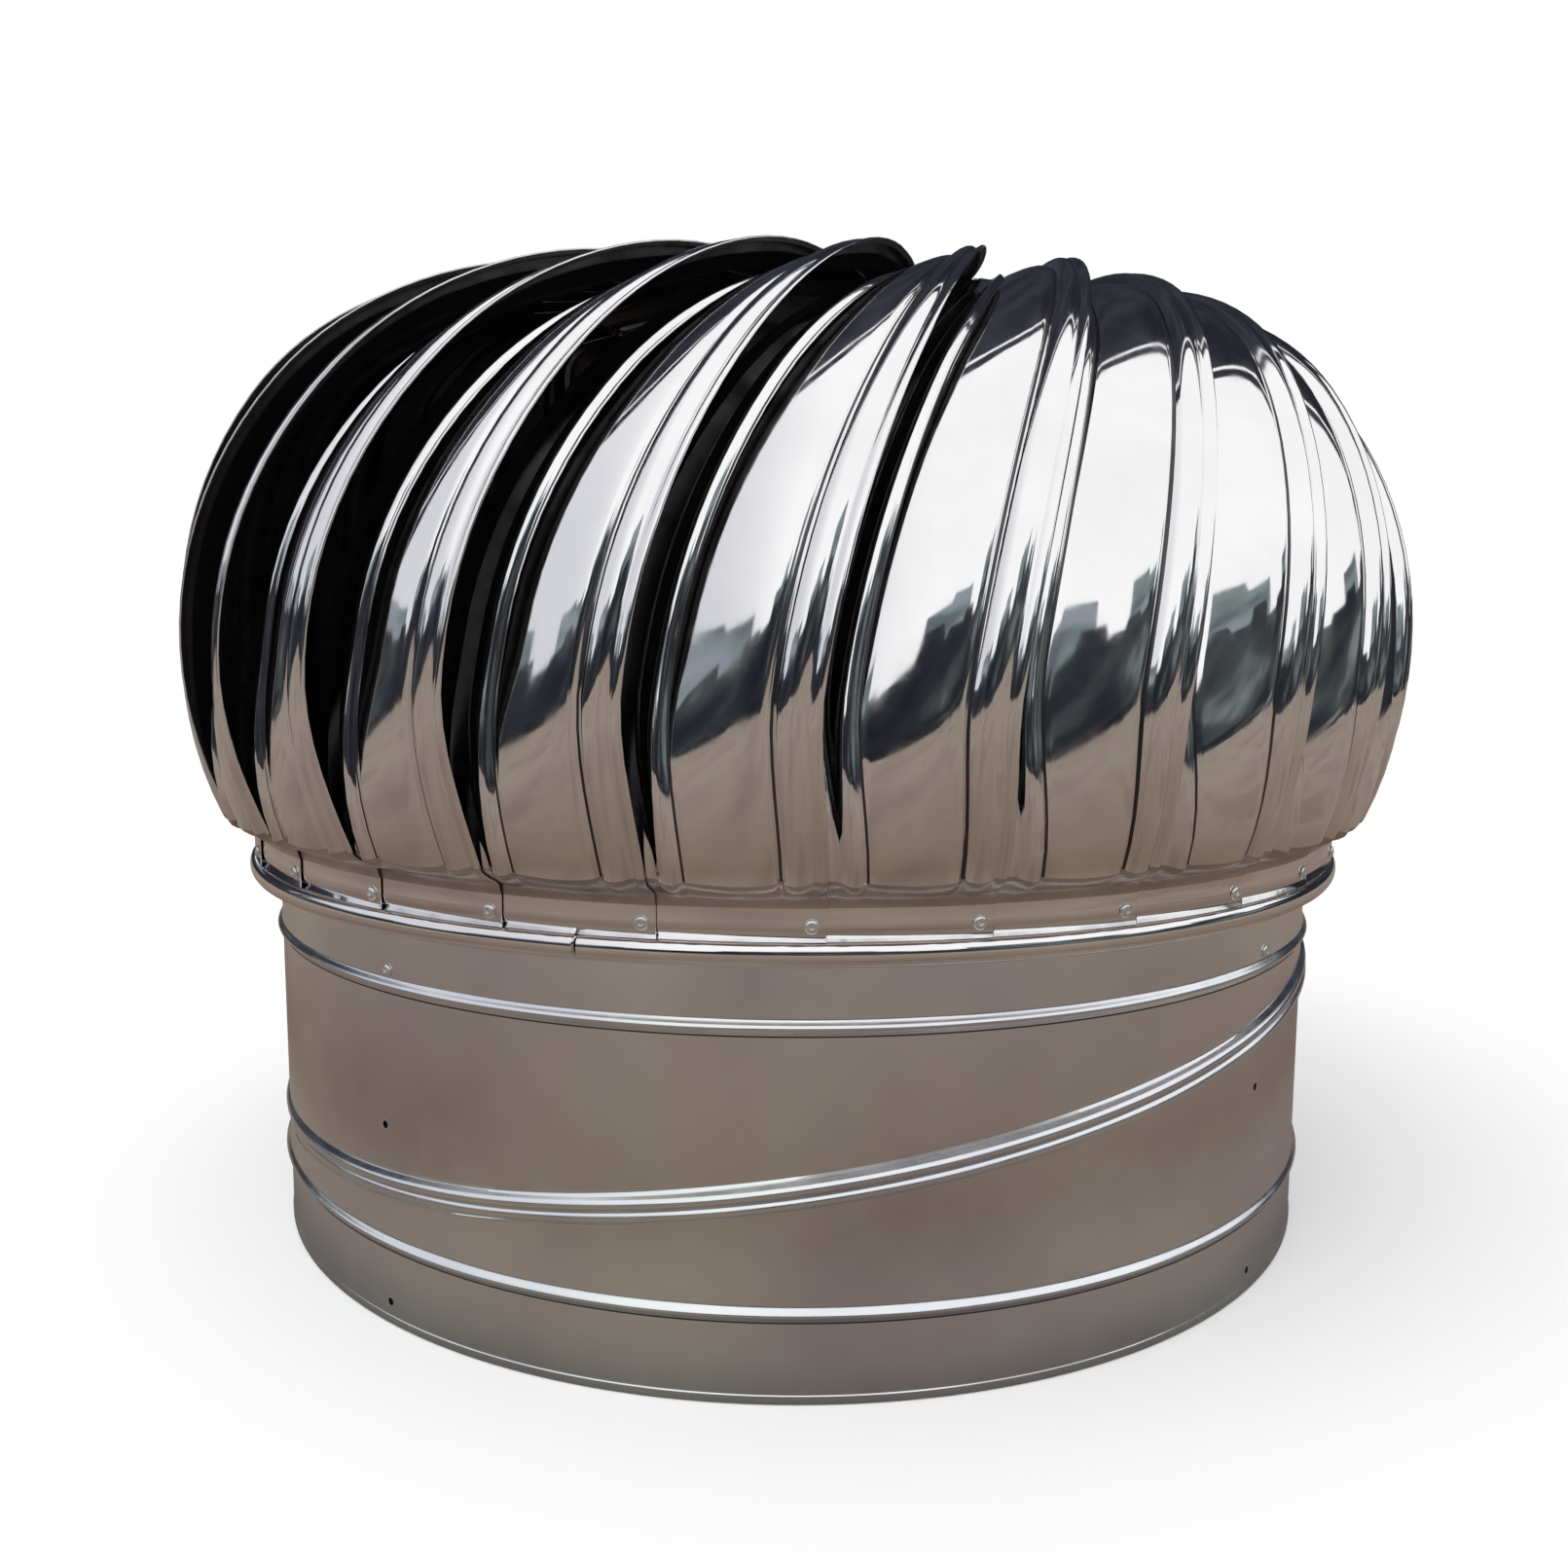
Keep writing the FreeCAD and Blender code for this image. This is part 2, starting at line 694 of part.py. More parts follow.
def eased(amount):
    """From the least share at 0 to the whole at 1."""
    return EASE_FLOOR + (1 - EASE_FLOOR) * amount


def outline_point(turn):
    """Radius and height of the head's outline where it leans by a turn from upright."""
    lean = math.radians(turn)
    if turn <= shoulder_start.value:
        return (
            side_centre + side_arc.value * math.cos(lean),
            head_middle.value + side_arc.value * math.sin(lean),
        )
    return (
        shoulder_centre + shoulder_arc.value * math.cos(lean),
        shoulder_centre_height + shoulder_arc.value * math.sin(lean),
    )


def vane_stations():
    """Stations up the vane: radius, height, lean, tuck, rib height, width over the pitch and middle."""
    found = []
    for height in (tab_bottom.value, tab_top.value):
        found.append((tab_radius, height, 0.0, vane_tab_tuck.value, 0.0, tab_share, even_middle))
    for turn in SIDE_TURNS:
        radius, height = outline_point(turn)
        rise = min(1.0, (height - tab_top.value) / (head_middle.value - tab_top.value) / TUCK_FULL_AT)
        fall = math.cos(math.radians(max(0.0, turn - shoulder_start.value)))
        tuck = vane_tuck.value * eased(fall) * eased(rise)
        found.append((radius, height, turn, tuck, vane_rib_height.value, panel_share, 1 / 2))
    tip_share = TIP_SHARE / (1 + lap_share)
    for radius in (top_disc_radius.value + top_disc_metal.value, tip_radius.value):
        found.append((radius, crown.value, 90.0, 0.0, 0.0, tip_share, even_middle))
    return found


def vane_sections():
    """The corner points of the sheet at each station, out along one face and back along the other."""
    stations = vane_stations()
    run = [0.0]
    for here, there in zip(stations, stations[1:]):
        run.append(run[-1] + math.hypot(there[0] - here[0], there[1] - here[1]))
    sections = []
    for (radius, height, turn, tuck, rib, share, centre), travelled in zip(stations, run):
        twist = crown_twist_angle.value * (travelled / run[-1]) ** TWIST_POWER
        azimuth = math.radians(twist - pitch / 2)
        lean = math.radians(turn)
        outward = Vector(math.sin(azimuth), -math.cos(azimuth), 0)
        along = Vector(math.cos(azimuth), math.sin(azimuth), 0)
        normal = outward * math.cos(lean) + Vector(0, 0, math.sin(lean))
        width = share * math.radians(pitch) * radius
        middle = outward * radius + Vector(0, 0, height)
        faces = []
        for depth in (0.0, vane_sheet.value):
            row = []
            for place, lift in zip(FOLDS, FOLD_LIFTS):
                side = (place - centre) * width
                sag = side ** 2 * math.cos(lean) / (2 * radius)
                tucked = tuck * (1 - max(0.0, place))
                row.append(middle + along * side + normal * (rib * lift - tucked - sag - depth))
            faces.append(row)
        sections.append(faces[0] + faces[1][::-1])
    return sections


def facet(*corners):
    return Part.Face(Part.makePolygon(list(corners) + [corners[0]]))


def vane_shape():
    """The pressed sheet, folded up from flat facets. Both its faces fold along the same lines."""
    sections = vane_sections()
    count = len(sections[0])
    facets = [facet(*sections[0]), facet(*sections[-1])]
    for here, there in zip(sections, sections[1:]):
        for i in range(count):
            j = (i + 1) % count
            if i < len(FOLDS):
                facets += [facet(here[i], here[j], there[j]), facet(here[i], there[j], there[i])]
            else:
                facets += [facet(here[i], here[j], there[i]), facet(here[j], there[j], there[i])]
    return Part.makeSolid(Part.makeShell(facets))


pressed_vane = vane_shape()
for k in range(VANES):
    vane = doc.addObject("Part::Feature", "Vane%02d" % (k + 1))
    vane.Label = "vane_%02d" % (k + 1)
    vane.Shape = pressed_vane
    vane.Placement = Placement(Vector(0, 0, 0), Rotation(Vector(0, 0, 1), vane_azimuth.value + pitch * k))
    keep(vane)

# Top disc: closes the head over the vane tips, with a raised ring pressed into it
keep(
    turned(
        "top_disc",
        [
            (0, top_disc_bottom),
            (top_disc_radius, top_disc_bottom),
            (top_disc_radius, top_disc_top),
            (top_disc_rib_radius, top_disc_top),
            (top_disc_rib_radius - top_disc_rib, top_disc_top + top_disc_rib),
            (0, top_disc_top + top_disc_rib),
        ],
    )
)


def heads(label, sides, corner_radius, head, placements):
    """Like fastener heads, each a solid of its own, in one group."""
    shapes = []
    for i, placement in enumerate(placements):
        block = doc.addObject("Part::Prism", "%s%02d" % (label.title().replace("_", ""), i + 1))
        block.Polygon = sides
        block.setExpression("Circumradius", corner_radius.formula)
        block.setExpression("Height", head.formula)
        block.Placement = placement
        shapes.append(block)
    group = doc.addObject("Part::Compound", label.title().replace("_", ""))
    group.Links = shapes
    group.Label = label
    return group


def facing_out(azimuth, radius, height):
    """A head that lies on a round wall, facing away from the upright axis."""
    turn = Rotation(Vector(0, 0, 1), azimuth - 90.0)
    spot = turn.multVec(Vector(radius, 0, 0)) + Vector(0, 0, height)
    return Placement(spot, turn * Rotation(Vector(0, 1, 0), 90))


def facing_up(azimuth, radius, height):
    """A head that stands on a level face."""
    turn = Rotation(Vector(0, 0, 1), azimuth - 90.0)
    return Placement(turn.multVec(Vector(radius, 0, 0)) + Vector(0, 0, height), turn)


rivet_seat = tab_radius + seat_gap.value
keep(
    heads(
        "vane_rivets",
        6,
        rivet_radius,
        rivet_head,
        [facing_out(vane_azimuth.value + pitch * k, rivet_seat, vane_rivet_height.value) for k in range(VANES)],
    )
)
keep(
    heads(
        "arm_rivets",
        6,
        rivet_radius,
        rivet_head,
        [
            facing_out(arm_azimuth.value + 90 * k, neck_radius.value + seat_gap.value, arm_rivet_height.value)
            for k in range(ARMS)
        ],
    )
)
keep(
    heads(
        "arm_bolts",
        6,
        bolt_corner_radius,
        bolt_head,
        [
            facing_up(arm_azimuth.value + 90 * k, bolt_circle.value, arm_top.value + seat_gap.value)
            for k in range(ARMS)
        ],
    )
)
keep(
    heads(
        "spoke_bolts",
        6,
        bolt_corner_radius,
        bolt_head,
        [
            facing_up(vane_azimuth.value + 90 * k, bolt_circle.value, spoke_top.value + seat_gap.value)
            for k in range(SPOKES)
        ],
    )
)
keep(
    heads(
        "housing_bolts",
        6,
        bolt_corner_radius,
        bolt_head,
        [
            facing_up(housing_bolt_azimuth.value + 90 * k, bolt_circle.value, top_disc_top.value + top_disc_rib.value)
            for k in range(SPOKES)
        ],
    )
)

doc.recompute()

for thing in doc.Objects:
    if "Invalid" in thing.State or "Error" in thing.State:
        raise RuntimeError("%s did not build: %s" % (thing.Label, thing.State))
for node in NODES:
    if node.Shape.isNull() or not node.Shape.isValid():
        raise RuntimeError("%s has no valid solid" % node.Label)
    if not node.Shape.Solids:
        raise RuntimeError("%s holds no solid" % node.Label)

os.makedirs("parts", exist_ok=True)
for node in NODES:
    node.Shape.exportStep("parts/%s.step" % node.Label)
print("%d nodes, crown at %.1f mm" % (len(NODES), crown.value))
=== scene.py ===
import bmesh
import bpy
import json
import math
from mathutils import Matrix, Vector


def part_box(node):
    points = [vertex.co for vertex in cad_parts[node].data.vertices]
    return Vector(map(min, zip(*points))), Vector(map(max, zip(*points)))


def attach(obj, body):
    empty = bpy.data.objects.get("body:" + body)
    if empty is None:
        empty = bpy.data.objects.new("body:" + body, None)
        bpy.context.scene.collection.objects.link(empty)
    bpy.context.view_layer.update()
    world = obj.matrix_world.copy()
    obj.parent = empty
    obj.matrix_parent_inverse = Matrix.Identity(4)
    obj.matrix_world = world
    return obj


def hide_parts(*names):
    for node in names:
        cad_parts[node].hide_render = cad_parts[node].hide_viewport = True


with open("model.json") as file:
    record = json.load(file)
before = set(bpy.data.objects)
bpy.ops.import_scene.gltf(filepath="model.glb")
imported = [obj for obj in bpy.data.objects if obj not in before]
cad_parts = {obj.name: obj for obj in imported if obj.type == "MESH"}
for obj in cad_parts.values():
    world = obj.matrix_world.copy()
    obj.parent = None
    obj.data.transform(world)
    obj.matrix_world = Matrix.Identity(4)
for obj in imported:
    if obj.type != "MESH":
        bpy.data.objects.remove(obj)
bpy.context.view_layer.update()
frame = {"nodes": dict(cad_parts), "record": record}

# Lower neck
# A rolled stainless tube with a hem at its foot and one swaged bead. Its top is cut at a slant and
# beaded outwards, with a flange that runs inside the upper neck's channel.
MM = 0.001
TURN_STEPS = 288
SHEET = 0.8 * MM
FOLD = 0.7 * MM
joints = frame["record"]["behaviour"]["joints"]
seam_joint = next(joint for joint in joints if joint["name"] == "neck_swivel")
seam_up = Vector(seam_joint["axis"]).normalized()
seam_middle = Vector(seam_joint["pos_m"])
seam_low = (Vector((0, 0, 1)) - seam_up * seam_up.z).normalized() * -1
seam_side = seam_up.cross(seam_low)
spigot_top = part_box("upper_neck")[1][2]
neck_radius = 300 * MM
neck_sharp = 50
bead_proud = 2.6 * MM
bead_half = 3.5 * MM


def on_seam(turn, radius, rise):
    """A point round the slanted seam: its turn, its radius and how far it lies above the seam."""
    spoke = seam_low * math.cos(turn) + seam_side * math.sin(turn)
    return seam_middle + spoke * radius + seam_up * rise


def on_neck(turn, radius, height):
    """A point on the upright neck, under or over the seam's own point at that turn."""
    flat = on_seam(turn, neck_radius, 0)
    flat.z = 0
    flat = flat.normalized() * radius
    return Vector((flat.x, flat.y, height))


def swell(proud, half, steps=8, roundness=0.8):
    """A swaged bead in section, as offsets outwards and along: round on top, hollow at its feet."""
    shares = [-1 + 2 * i / steps for i in range(steps + 1)]
    return [(proud * (0.5 + 0.5 * math.cos(math.pi * s)) ** roundness, half * s) for s in shares]


def grid_mesh(name, rows, wrap_rows=True, wrap_columns=True):
    """A mesh from rows of points, each joined to the next, with faces that look outwards."""
    width = len(rows[0])
    mesh = bpy.data.meshes.new(name)
    faces = []
    for i in range(len(rows) if wrap_rows else len(rows) - 1):
        here, there = i * width, (i + 1) % len(rows) * width
        for j in range(width if wrap_columns else width - 1):
            k = (j + 1) % width
            faces.append((here + j, here + k, there + k, there + j))
    mesh.from_pydata([tuple(point) for row in rows for point in row], [], faces)
    shape = bmesh.new()
    shape.from_mesh(mesh)
    bmesh.ops.recalc_face_normals(shape, faces=shape.faces)
    shape.to_mesh(mesh)
    shape.free()
    return mesh


def show(mesh, body, finishes, replaced=(), sharp=40):
    """Put a finished mesh in the scene, riding on its body."""
    piece = bpy.data.objects.new(mesh.name, mesh)
    bpy.context.scene.collection.objects.link(piece)
    for finish in finishes:
        mesh.materials.append(finish)
    mesh.shade_smooth()
    mesh.set_sharp_from_angle(angle=math.radians(sharp))
    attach(piece, body)
    if replaced:
        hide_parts(*replaced)
    return piece


class Wire:
    """One output of a finish's nodes. Sums written on it add Math nodes."""

    def __init__(self, tree, socket=None):
        self.tree = tree
        self.socket = socket

    def node(self, kind, settings=(), sockets=(), output=0):
        """Any other node, with its settings made first and then its sockets filled."""
        made = self.tree.nodes.new("ShaderNode" + kind)
        for name, value in dict(settings).items():
            if name == "stops":
                ramp = made.color_ramp
                while len(ramp.elements) < len(value):
                    ramp.elements.new(1.0)
                for element, (place, colour) in zip(ramp.elements, value):
                    element.position = place
                    element.color = (*colour, 1.0)
            else:
                setattr(made, name, value)
        for name, value in dict(sockets).items():
            if isinstance(value, Wire):
                self.tree.links.new(value.socket, made.inputs[name])
            else:
                made.inputs[name].default_value = value
        return Wire(self.tree, made.outputs[output])

    def sum(self, operation, left, right):
        return self.node("Math", {"operation": operation}, {0: left, 1: right})

    def __add__(self, other):
        return self.sum("ADD", self, other)

    def __radd__(self, other):
        return self.sum("ADD", other, self)

    def __sub__(self, other):
        return self.sum("SUBTRACT", self, other)

    def __rsub__(self, other):
        return self.sum("SUBTRACT", other, self)

    def __mul__(self, other):
        return self.sum("MULTIPLY", self, other)

    def __rmul__(self, other):
        return self.sum("MULTIPLY", other, self)

    def clamped(self, low, high, start=0.0, end=1.0):
        """This value run from one range to another, and held inside it."""
        settings = {"clamp": True, "interpolation_type": "SMOOTHSTEP"}
        sockets = {"Value": self, "From Min": low, "From Max": high, "To Min": start, "To Max": end}
        return self.node("MapRange", settings, sockets)


SMEAR_SIZE = 55.0
GRAIN_SIZE = 30.0
GRAIN_DULLING = 0.2
GRAIN_HEIGHT = 0.004


def metal(name, light, dark, polish, dull, wave=0.0, wave_size=9.0, grain=0.0, grain_along=(1, 1, 60),
          soil_and_shade=None, cloud_size=14.0):
    """A bare metal: two tones in soft clouds, its polish, the sheet's waviness and its rolling grain."""
    finish = bpy.data.materials.new(name)
    finish.use_nodes = True
    tree = finish.node_tree
    shader = tree.nodes["Principled BSDF"]
    start = Wire(tree)
    place = start.node("TexCoord", output=3)
    clouds = {"Vector": place, "Scale": cloud_size, "Detail": 4.0, "Roughness": 0.6}
    smears = {"Vector": place, "Scale": SMEAR_SIZE, "Detail": 5.0, "Roughness": 0.65}
    cloud = start.node("TexNoise", {}, clouds)
    smear = start.node("TexNoise", {}, smears)
    stretch = start.node("Mapping", {}, {"Vector": place, "Scale": grain_along})
    lines = start.node("TexNoise", {}, {"Vector": stretch, "Scale": GRAIN_SIZE, "Detail": 3.0})
    tone = start.node(
        "Mix",
        {"data_type": "RGBA"},
        {0: cloud.clamped(0.3, 0.7), 6: (*light, 1.0), 7: (*dark, 1.0)},
        output=2,
    )
    # Patches of another colour: dirt on most metals, and still darker painted shade on the vanes' inner
    # faces.
    if soil_and_shade:
        colour, share = soil_and_shade
        patches = smear.clamped(0.45, 0.75) * share
        tone = start.node("Mix", {"data_type": "RGBA"}, {0: patches, 6: tone, 7: (*colour, 1.0)}, output=2)
    tree.links.new(tone.socket, shader.inputs["Base Color"])
    rough = smear.clamped(0.35, 0.75, polish, dull) + (lines - 0.5) * grain * GRAIN_DULLING
    tree.links.new(rough.socket, shader.inputs["Roughness"])
    shader.inputs["Metallic"].default_value = 1.0
    swell_noise = start.node("TexNoise", {}, {"Vector": place, "Scale": wave_size, "Detail": 1.0})
    height = swell_noise * wave + lines * grain * GRAIN_HEIGHT
    bump = start.node("Bump", {}, {"Strength": 1.0, "Distance": 0.001, "Height": height})
    tree.links.new(bump.socket, shader.inputs["Normal"])
    return finish


neck_steel = metal(
    "rolled_stainless", (0.93, 0.985, 0.97), (0.77, 0.785, 0.85), 0.18, 0.27,
    wave=0.7, wave_size=7.0, grain=0.3, cloud_size=5.0,
)
# Painted shade: a darker metal for thin strips just under the neck's beads and in the grooves beside the
# vanes' ribs, where shade and dark reflections fall.
crease_painted_shade = metal("crease_painted_shade", (0.13, 0.13, 0.14), (0.06, 0.06, 0.065), 0.3, 0.45)


def paint_shade_strips(piece, columns, creases, rows=None, finish=1):
    """Lay a finish, here painted shade, on the strips of a grid that start at the named columns."""
    for face in piece.data.polygons:
        row, column = divmod(face.index, columns)
        if column in creases and (rows is None or row in rows):
            face.material_index = finish


# The hem's section, outwards from the wall and up from the foot, and the bead and flange along the
# slanted edge, outwards from the wall and above the seam, all in mm.
hem_turn = [
    (-0.5, 0.0), (0.1, 0.0), (0.4, 0.4), (0.45, 1.0), (0.45, 3.4), (0.35, 3.8), (0.1, 4.1), (0.0, 4.3),
    (0.0, 5.0),
]
seam_bead = [
    (1.4, -8.4), (1.6, -7.6), (2.5, -6.9), (4.0, -5.9), (4.8, -4.6), (4.9, -3.6), (4.6, -2.3), (3.6, -1.0),
    (2.2, -0.2), (1.4, 0.3), (1.4, 1.8), (3.8, 1.8), (3.8, 2.6), (-0.4, 2.6),
]
hem_top = 8 * MM
hem_edge = 1 * MM
foot_bead_height = 41 * MM
foot_bead = swell(bead_proud, bead_half)


def lower_neck_column(turn):
    """The lower neck's section at one turn: up the outside, over the flange and down the inside."""
    column = [on_neck(turn, neck_radius + out * MM, up * MM) for out, up in hem_turn]
    wall_top = on_seam(turn, neck_radius, seam_bead[0][1] * MM).z
    column += [on_neck(turn, neck_radius, foot_bead_height + foot_bead[0][1] - FOLD)]
    column += [on_neck(turn, neck_radius + out, foot_bead_height + up) for out, up in foot_bead]
    bead_top = foot_bead_height + foot_bead[-1][1]
    for height in (bead_top + FOLD, (bead_top + wall_top) / 2, wall_top - FOLD):
        column.append(on_neck(turn, neck_radius, height))
    ring = [on_seam(turn, neck_radius + out * MM, up * MM) for out, up in seam_bead]
    for point in ring[:2]:
        flat = Vector((point.x, point.y, 0)).normalized() * neck_radius
        point.x, point.y = flat.x, flat.y
    inner = [
        on_neck(turn, neck_radius - SHEET, height)
        for height in (wall_top, foot_bead_height, hem_top, hem_edge)
    ]
    return column + ring + inner


turns = [2 * math.pi * k / TURN_STEPS for k in range(TURN_STEPS)]
lower_neck = show(
    grid_mesh("lower_neck_shell", [lower_neck_column(turn) for turn in turns]),
    "lower_neck", [neck_steel, crease_painted_shade], ["lower_neck"], sharp=neck_sharp,
)
# A strip of painted shade just under the foot bead.
paint_shade_strips(lower_neck, len(lower_neck_column(0)), [len(hem_turn)])

# Upper neck
# The same sheet above the seam. Its foot is rolled into a channel that holds the lower neck's flange,
# and a bead stiffens it where the support arms are riveted inside.
seam_channel = [
    (-0.4, 3.1), (4.3, 3.1), (4.3, 1.3), (1.9, 1.3), (1.9, 0.5), (4.2, 0.45), (5.0, 0.8), (5.3, 1.7),
    (5.25, 2.9), (4.7, 4.1), (3.6, 4.9), (2.2, 5.6), (1.2, 6.3), (0.8, 7.2), (0.6, 8.0),
]
neck_bead_height = 168.1 * MM
neck_bead = swell(bead_proud, bead_half)


def upper_neck_column(turn):
    """The upper neck's section at one turn: from the channel up the outside and down the inside."""
    ring = [on_seam(turn, neck_radius + out * MM, up * MM) for out, up in seam_channel]
    for point in ring[-2:]:
        flat = Vector((point.x, point.y, 0)).normalized() * neck_radius
        point.x, point.y = flat.x, flat.y
    low = ring[-1].z
    bead_foot = neck_bead_height + neck_bead[0][1]
    under_bead = (low + FOLD, (low + bead_foot) / 2, bead_foot - FOLD)
    column = [on_neck(turn, neck_radius, height) for height in under_bead]
    column += [on_neck(turn, neck_radius + out, neck_bead_height + up) for out, up in neck_bead]
    column += [on_neck(turn, neck_radius, neck_bead_height + neck_bead[-1][1] + FOLD)]
    column += [on_neck(turn, neck_radius, spigot_top - FOLD), on_neck(turn, neck_radius, spigot_top)]
    inner = [on_neck(turn, neck_radius - SHEET, height) for height in (spigot_top, neck_bead_height, low)]
    return ring + column + inner


upper_neck = show(
    grid_mesh("upper_neck_shell", [upper_neck_column(turn) for turn in turns]),
    "upper_neck", [neck_steel, crease_painted_shade], ["upper_neck"], sharp=neck_sharp,
)
upper_bead_foot = len(seam_channel) + 2
# A strip of painted shade just under the neck's bead.
paint_shade_strips(upper_neck, len(upper_neck_column(0)), [upper_bead_foot])

# Screw holes
# Eight 4 mm holes, punched from outside so that each has a small turned-in rim. Four near the neck's
# foot take the fixing screws, and four beside the seam take the screws that lock the swivel.
hole_radius = 2 * MM
screw_azimuth = 50
foot_screw_height = 11 * MM
lock_screw_from_seam = 29 * MM
HOLE_STEPS = 20
# The dimpled rim from outside in: its radius as a share of the hole's, and how proud it stands in mm.
rim_section = [(1.45, 0.02), (1.2, 0.16), (1.0, 0.1), (0.96, 0.05)]
hole_dark = metal("hole_shade", (0.02, 0.02, 0.02), (0.01, 0.01, 0.01), 0.6, 0.9)


def seam_height(azimuth):
    """Height of the seam over an azimuth of the neck, which counts from the front to the right."""
    across = Vector((math.sin(math.radians(azimuth)), -math.cos(math.radians(azimuth)), 0))
    return seam_middle.z - (across.x * seam_up.x + across.y * seam_up.y) / seam_up.z * neck_radius


def punched_hole(shape, azimuth, height):
    """A dimpled rim and the dark hole inside it, laid on the neck's wall."""
    outward = Vector((math.sin(math.radians(azimuth)), -math.cos(math.radians(azimuth)), 0))
    along = Vector((outward.y * -1, outward.x, 0))
    rings = []
    for share, proud in rim_section:
        radius = hole_radius * share
        ring = []
        for k in range(HOLE_STEPS):
            turn = 2 * math.pi * k / HOLE_STEPS
            side = math.cos(turn) * radius
            point = outward * (math.sqrt(neck_radius ** 2 - side ** 2) + proud * MM) + along * side
            point.z = height + math.sin(turn) * radius
            ring.append(shape.verts.new(point))
        rings.append(ring)
    for outer, inner in zip(rings, rings[1:]):
        for k in range(HOLE_STEPS):
            j = (k + 1) % HOLE_STEPS
            shape.faces.new((outer[k], outer[j], inner[j], inner[k]))
    floor = shape.faces.new(rings[-1])
    floor.material_index = 1


def hole_group(name, places, body):
    """The holes of one body, as one mesh that rides on it."""
    shape = bmesh.new()
    for azimuth, height in places:
        punched_hole(shape, azimuth, height)
    mesh = bpy.data.meshes.new(name)
    shape.to_mesh(mesh)
    shape.free()
    return show(mesh, body, [neck_steel, hole_dark])


screw_ways = [screw_azimuth + 90 * k for k in range(4)]
foot_holes = [(way, foot_screw_height) for way in screw_ways]
under_seam = [(way, seam_height(way) - lock_screw_from_seam) for way in screw_ways[:2]]
over_seam = [(way, seam_height(way) + lock_screw_from_seam) for way in (screw_ways[3], screw_ways[2])]
hole_group("lower_screw_holes", foot_holes + under_seam, "lower_neck")
hole_group("upper_screw_holes", over_seam, "upper_neck")

# Base ring
# A rolled band with a fat bead at its foot and a lip that runs round the spigot. The bead's ends meet
# in an open joint a little left of the front.
ring_low, ring_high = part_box("base_ring")
ring_foot = ring_low[2]
ring_top = ring_high[2]
band_face = 311.3 * MM
lip_radius = 304 * MM
ring_bead_height = 11 * MM
ring_bead_proud = 4.5 * MM
joint_azimuth = -17.0
joint_half_width = 0.2
joint_depth = 0.4
ring_foot_width = 3 * MM
ring_edge = ring_top - 0.3 * MM
bead_root = 0.4 * MM
bead_roundness = 0.7
BEAD_STEPS = 10
head_steel = metal(
    "bright_stainless", (0.95, 0.945, 0.955), (0.88, 0.875, 0.885), 0.045, 0.11,
    wave=0.55, wave_size=10.0, grain=0.05,
)


def ring_column(azimuth):
    """The base ring's section at one azimuth: the lip, the bead, the band and its inner side."""
    joint = min(1.0, abs(azimuth - joint_azimuth) / joint_half_width)
    proud = ring_bead_proud * ((1 + joint_depth) * math.sqrt(joint) - joint_depth)
    section = [(lip_radius, ring_foot + SHEET), (lip_radius, ring_foot)]
    section += [(band_face - ring_foot_width, ring_foot)]
    for i in range(BEAD_STEPS + 1):
        turn = math.pi * (i / BEAD_STEPS - 0.5)
        section.append((
            band_face - bead_root + (proud + bead_root) * max(0.0, math.cos(turn)) ** bead_roundness,
            ring_foot + ring_bead_height * (0.5 + 0.5 * math.sin(turn)),
        ))
    section += [(band_face, ring_foot + ring_bead_height + FOLD), (band_face, ring_edge)]
    section += [(band_face - SHEET, ring_edge), (band_face - SHEET, ring_foot + ring_bead_height)]
    section += [(band_face - SHEET, ring_foot + SHEET)]
    outward = Vector((math.sin(math.radians(azimuth)), -math.cos(math.radians(azimuth)), 0))
    return [outward * radius + Vector((0, 0, height)) for radius, height in section]


ring_azimuths = [360 * k / TURN_STEPS for k in range(TURN_STEPS)]
joint_sides = (-1, -0.6, -0.3, 0, 0.3, 0.6, 1)
ring_azimuths += [joint_azimuth % 360 + joint_half_width * side for side in joint_sides]
ring_columns = [ring_column(way if way < 180 else way - 360) for way in sorted(set(ring_azimuths))]
show(
    grid_mesh("base_ring_band", ring_columns), "rotor", [head_steel], ["base_ring"],
    sharp=neck_sharp,
)

# Vanes
# Twenty-eight pressings of thin mirror stainless. Each has a round rib inside its tucked edge, a domed
# panel, a second rib and a hem on its free edge, and turns by 43 degrees on its way to the crown.
VANES = 28
PITCH = 2 * math.pi / VANES
vane_sheet = 0.6 * MM
vane_low, vane_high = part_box("vane_01")
crown = vane_high[2]
tab_foot = vane_low[2]
tab_top = tab_foot + 16 * MM
tab_fold = 2 * MM
tab_radius = 313.6 * MM
tab_overlap = 12 * MM
vane_phase = math.radians(1.2)
crown_twist = math.radians(43)
twist_power = 2.7
head_radius = 348 * MM
equator = ring_foot + 128 * MM
side_arc = 213 * MM
side_middle = 133.6 * MM
shoulder_arc = 142 * MM
shoulder_start = math.radians(36.6)
shoulder_middle = side_middle + (side_arc - shoulder_arc) * math.cos(shoulder_start)
shoulder_height = equator + (side_arc - shoulder_arc) * math.sin(shoulder_start)
arc_foot = math.radians(-25)
arc_head = math.radians(88)
fade_start = math.radians(78)
fade_radius = shoulder_middle + shoulder_arc * math.cos(fade_start)
slot_width = 5 * MM
slot_rise = 85 * MM
slot_taper = 0.8
spread_rise = 90 * MM
crown_spread = 0.95
tuck = 22 * MM
tuck_at_crown = 0.45
tuck_rise = 110 * MM
tip_radius = 118 * MM
disc_edge = 151 * MM
lap = 18 * MM
panel_share = 1 - slot_width / (head_radius * PITCH)
lap_share = lap / (head_radius * PITCH * panel_share)
even_middle = (1 - lap_share) / 2
tab_tuck = 1.2 * MM
rib_height = 0.92 * MM
FLARE_STEPS = 8
SIDE_STEPS = 18
SHOULDER_STEPS = 14

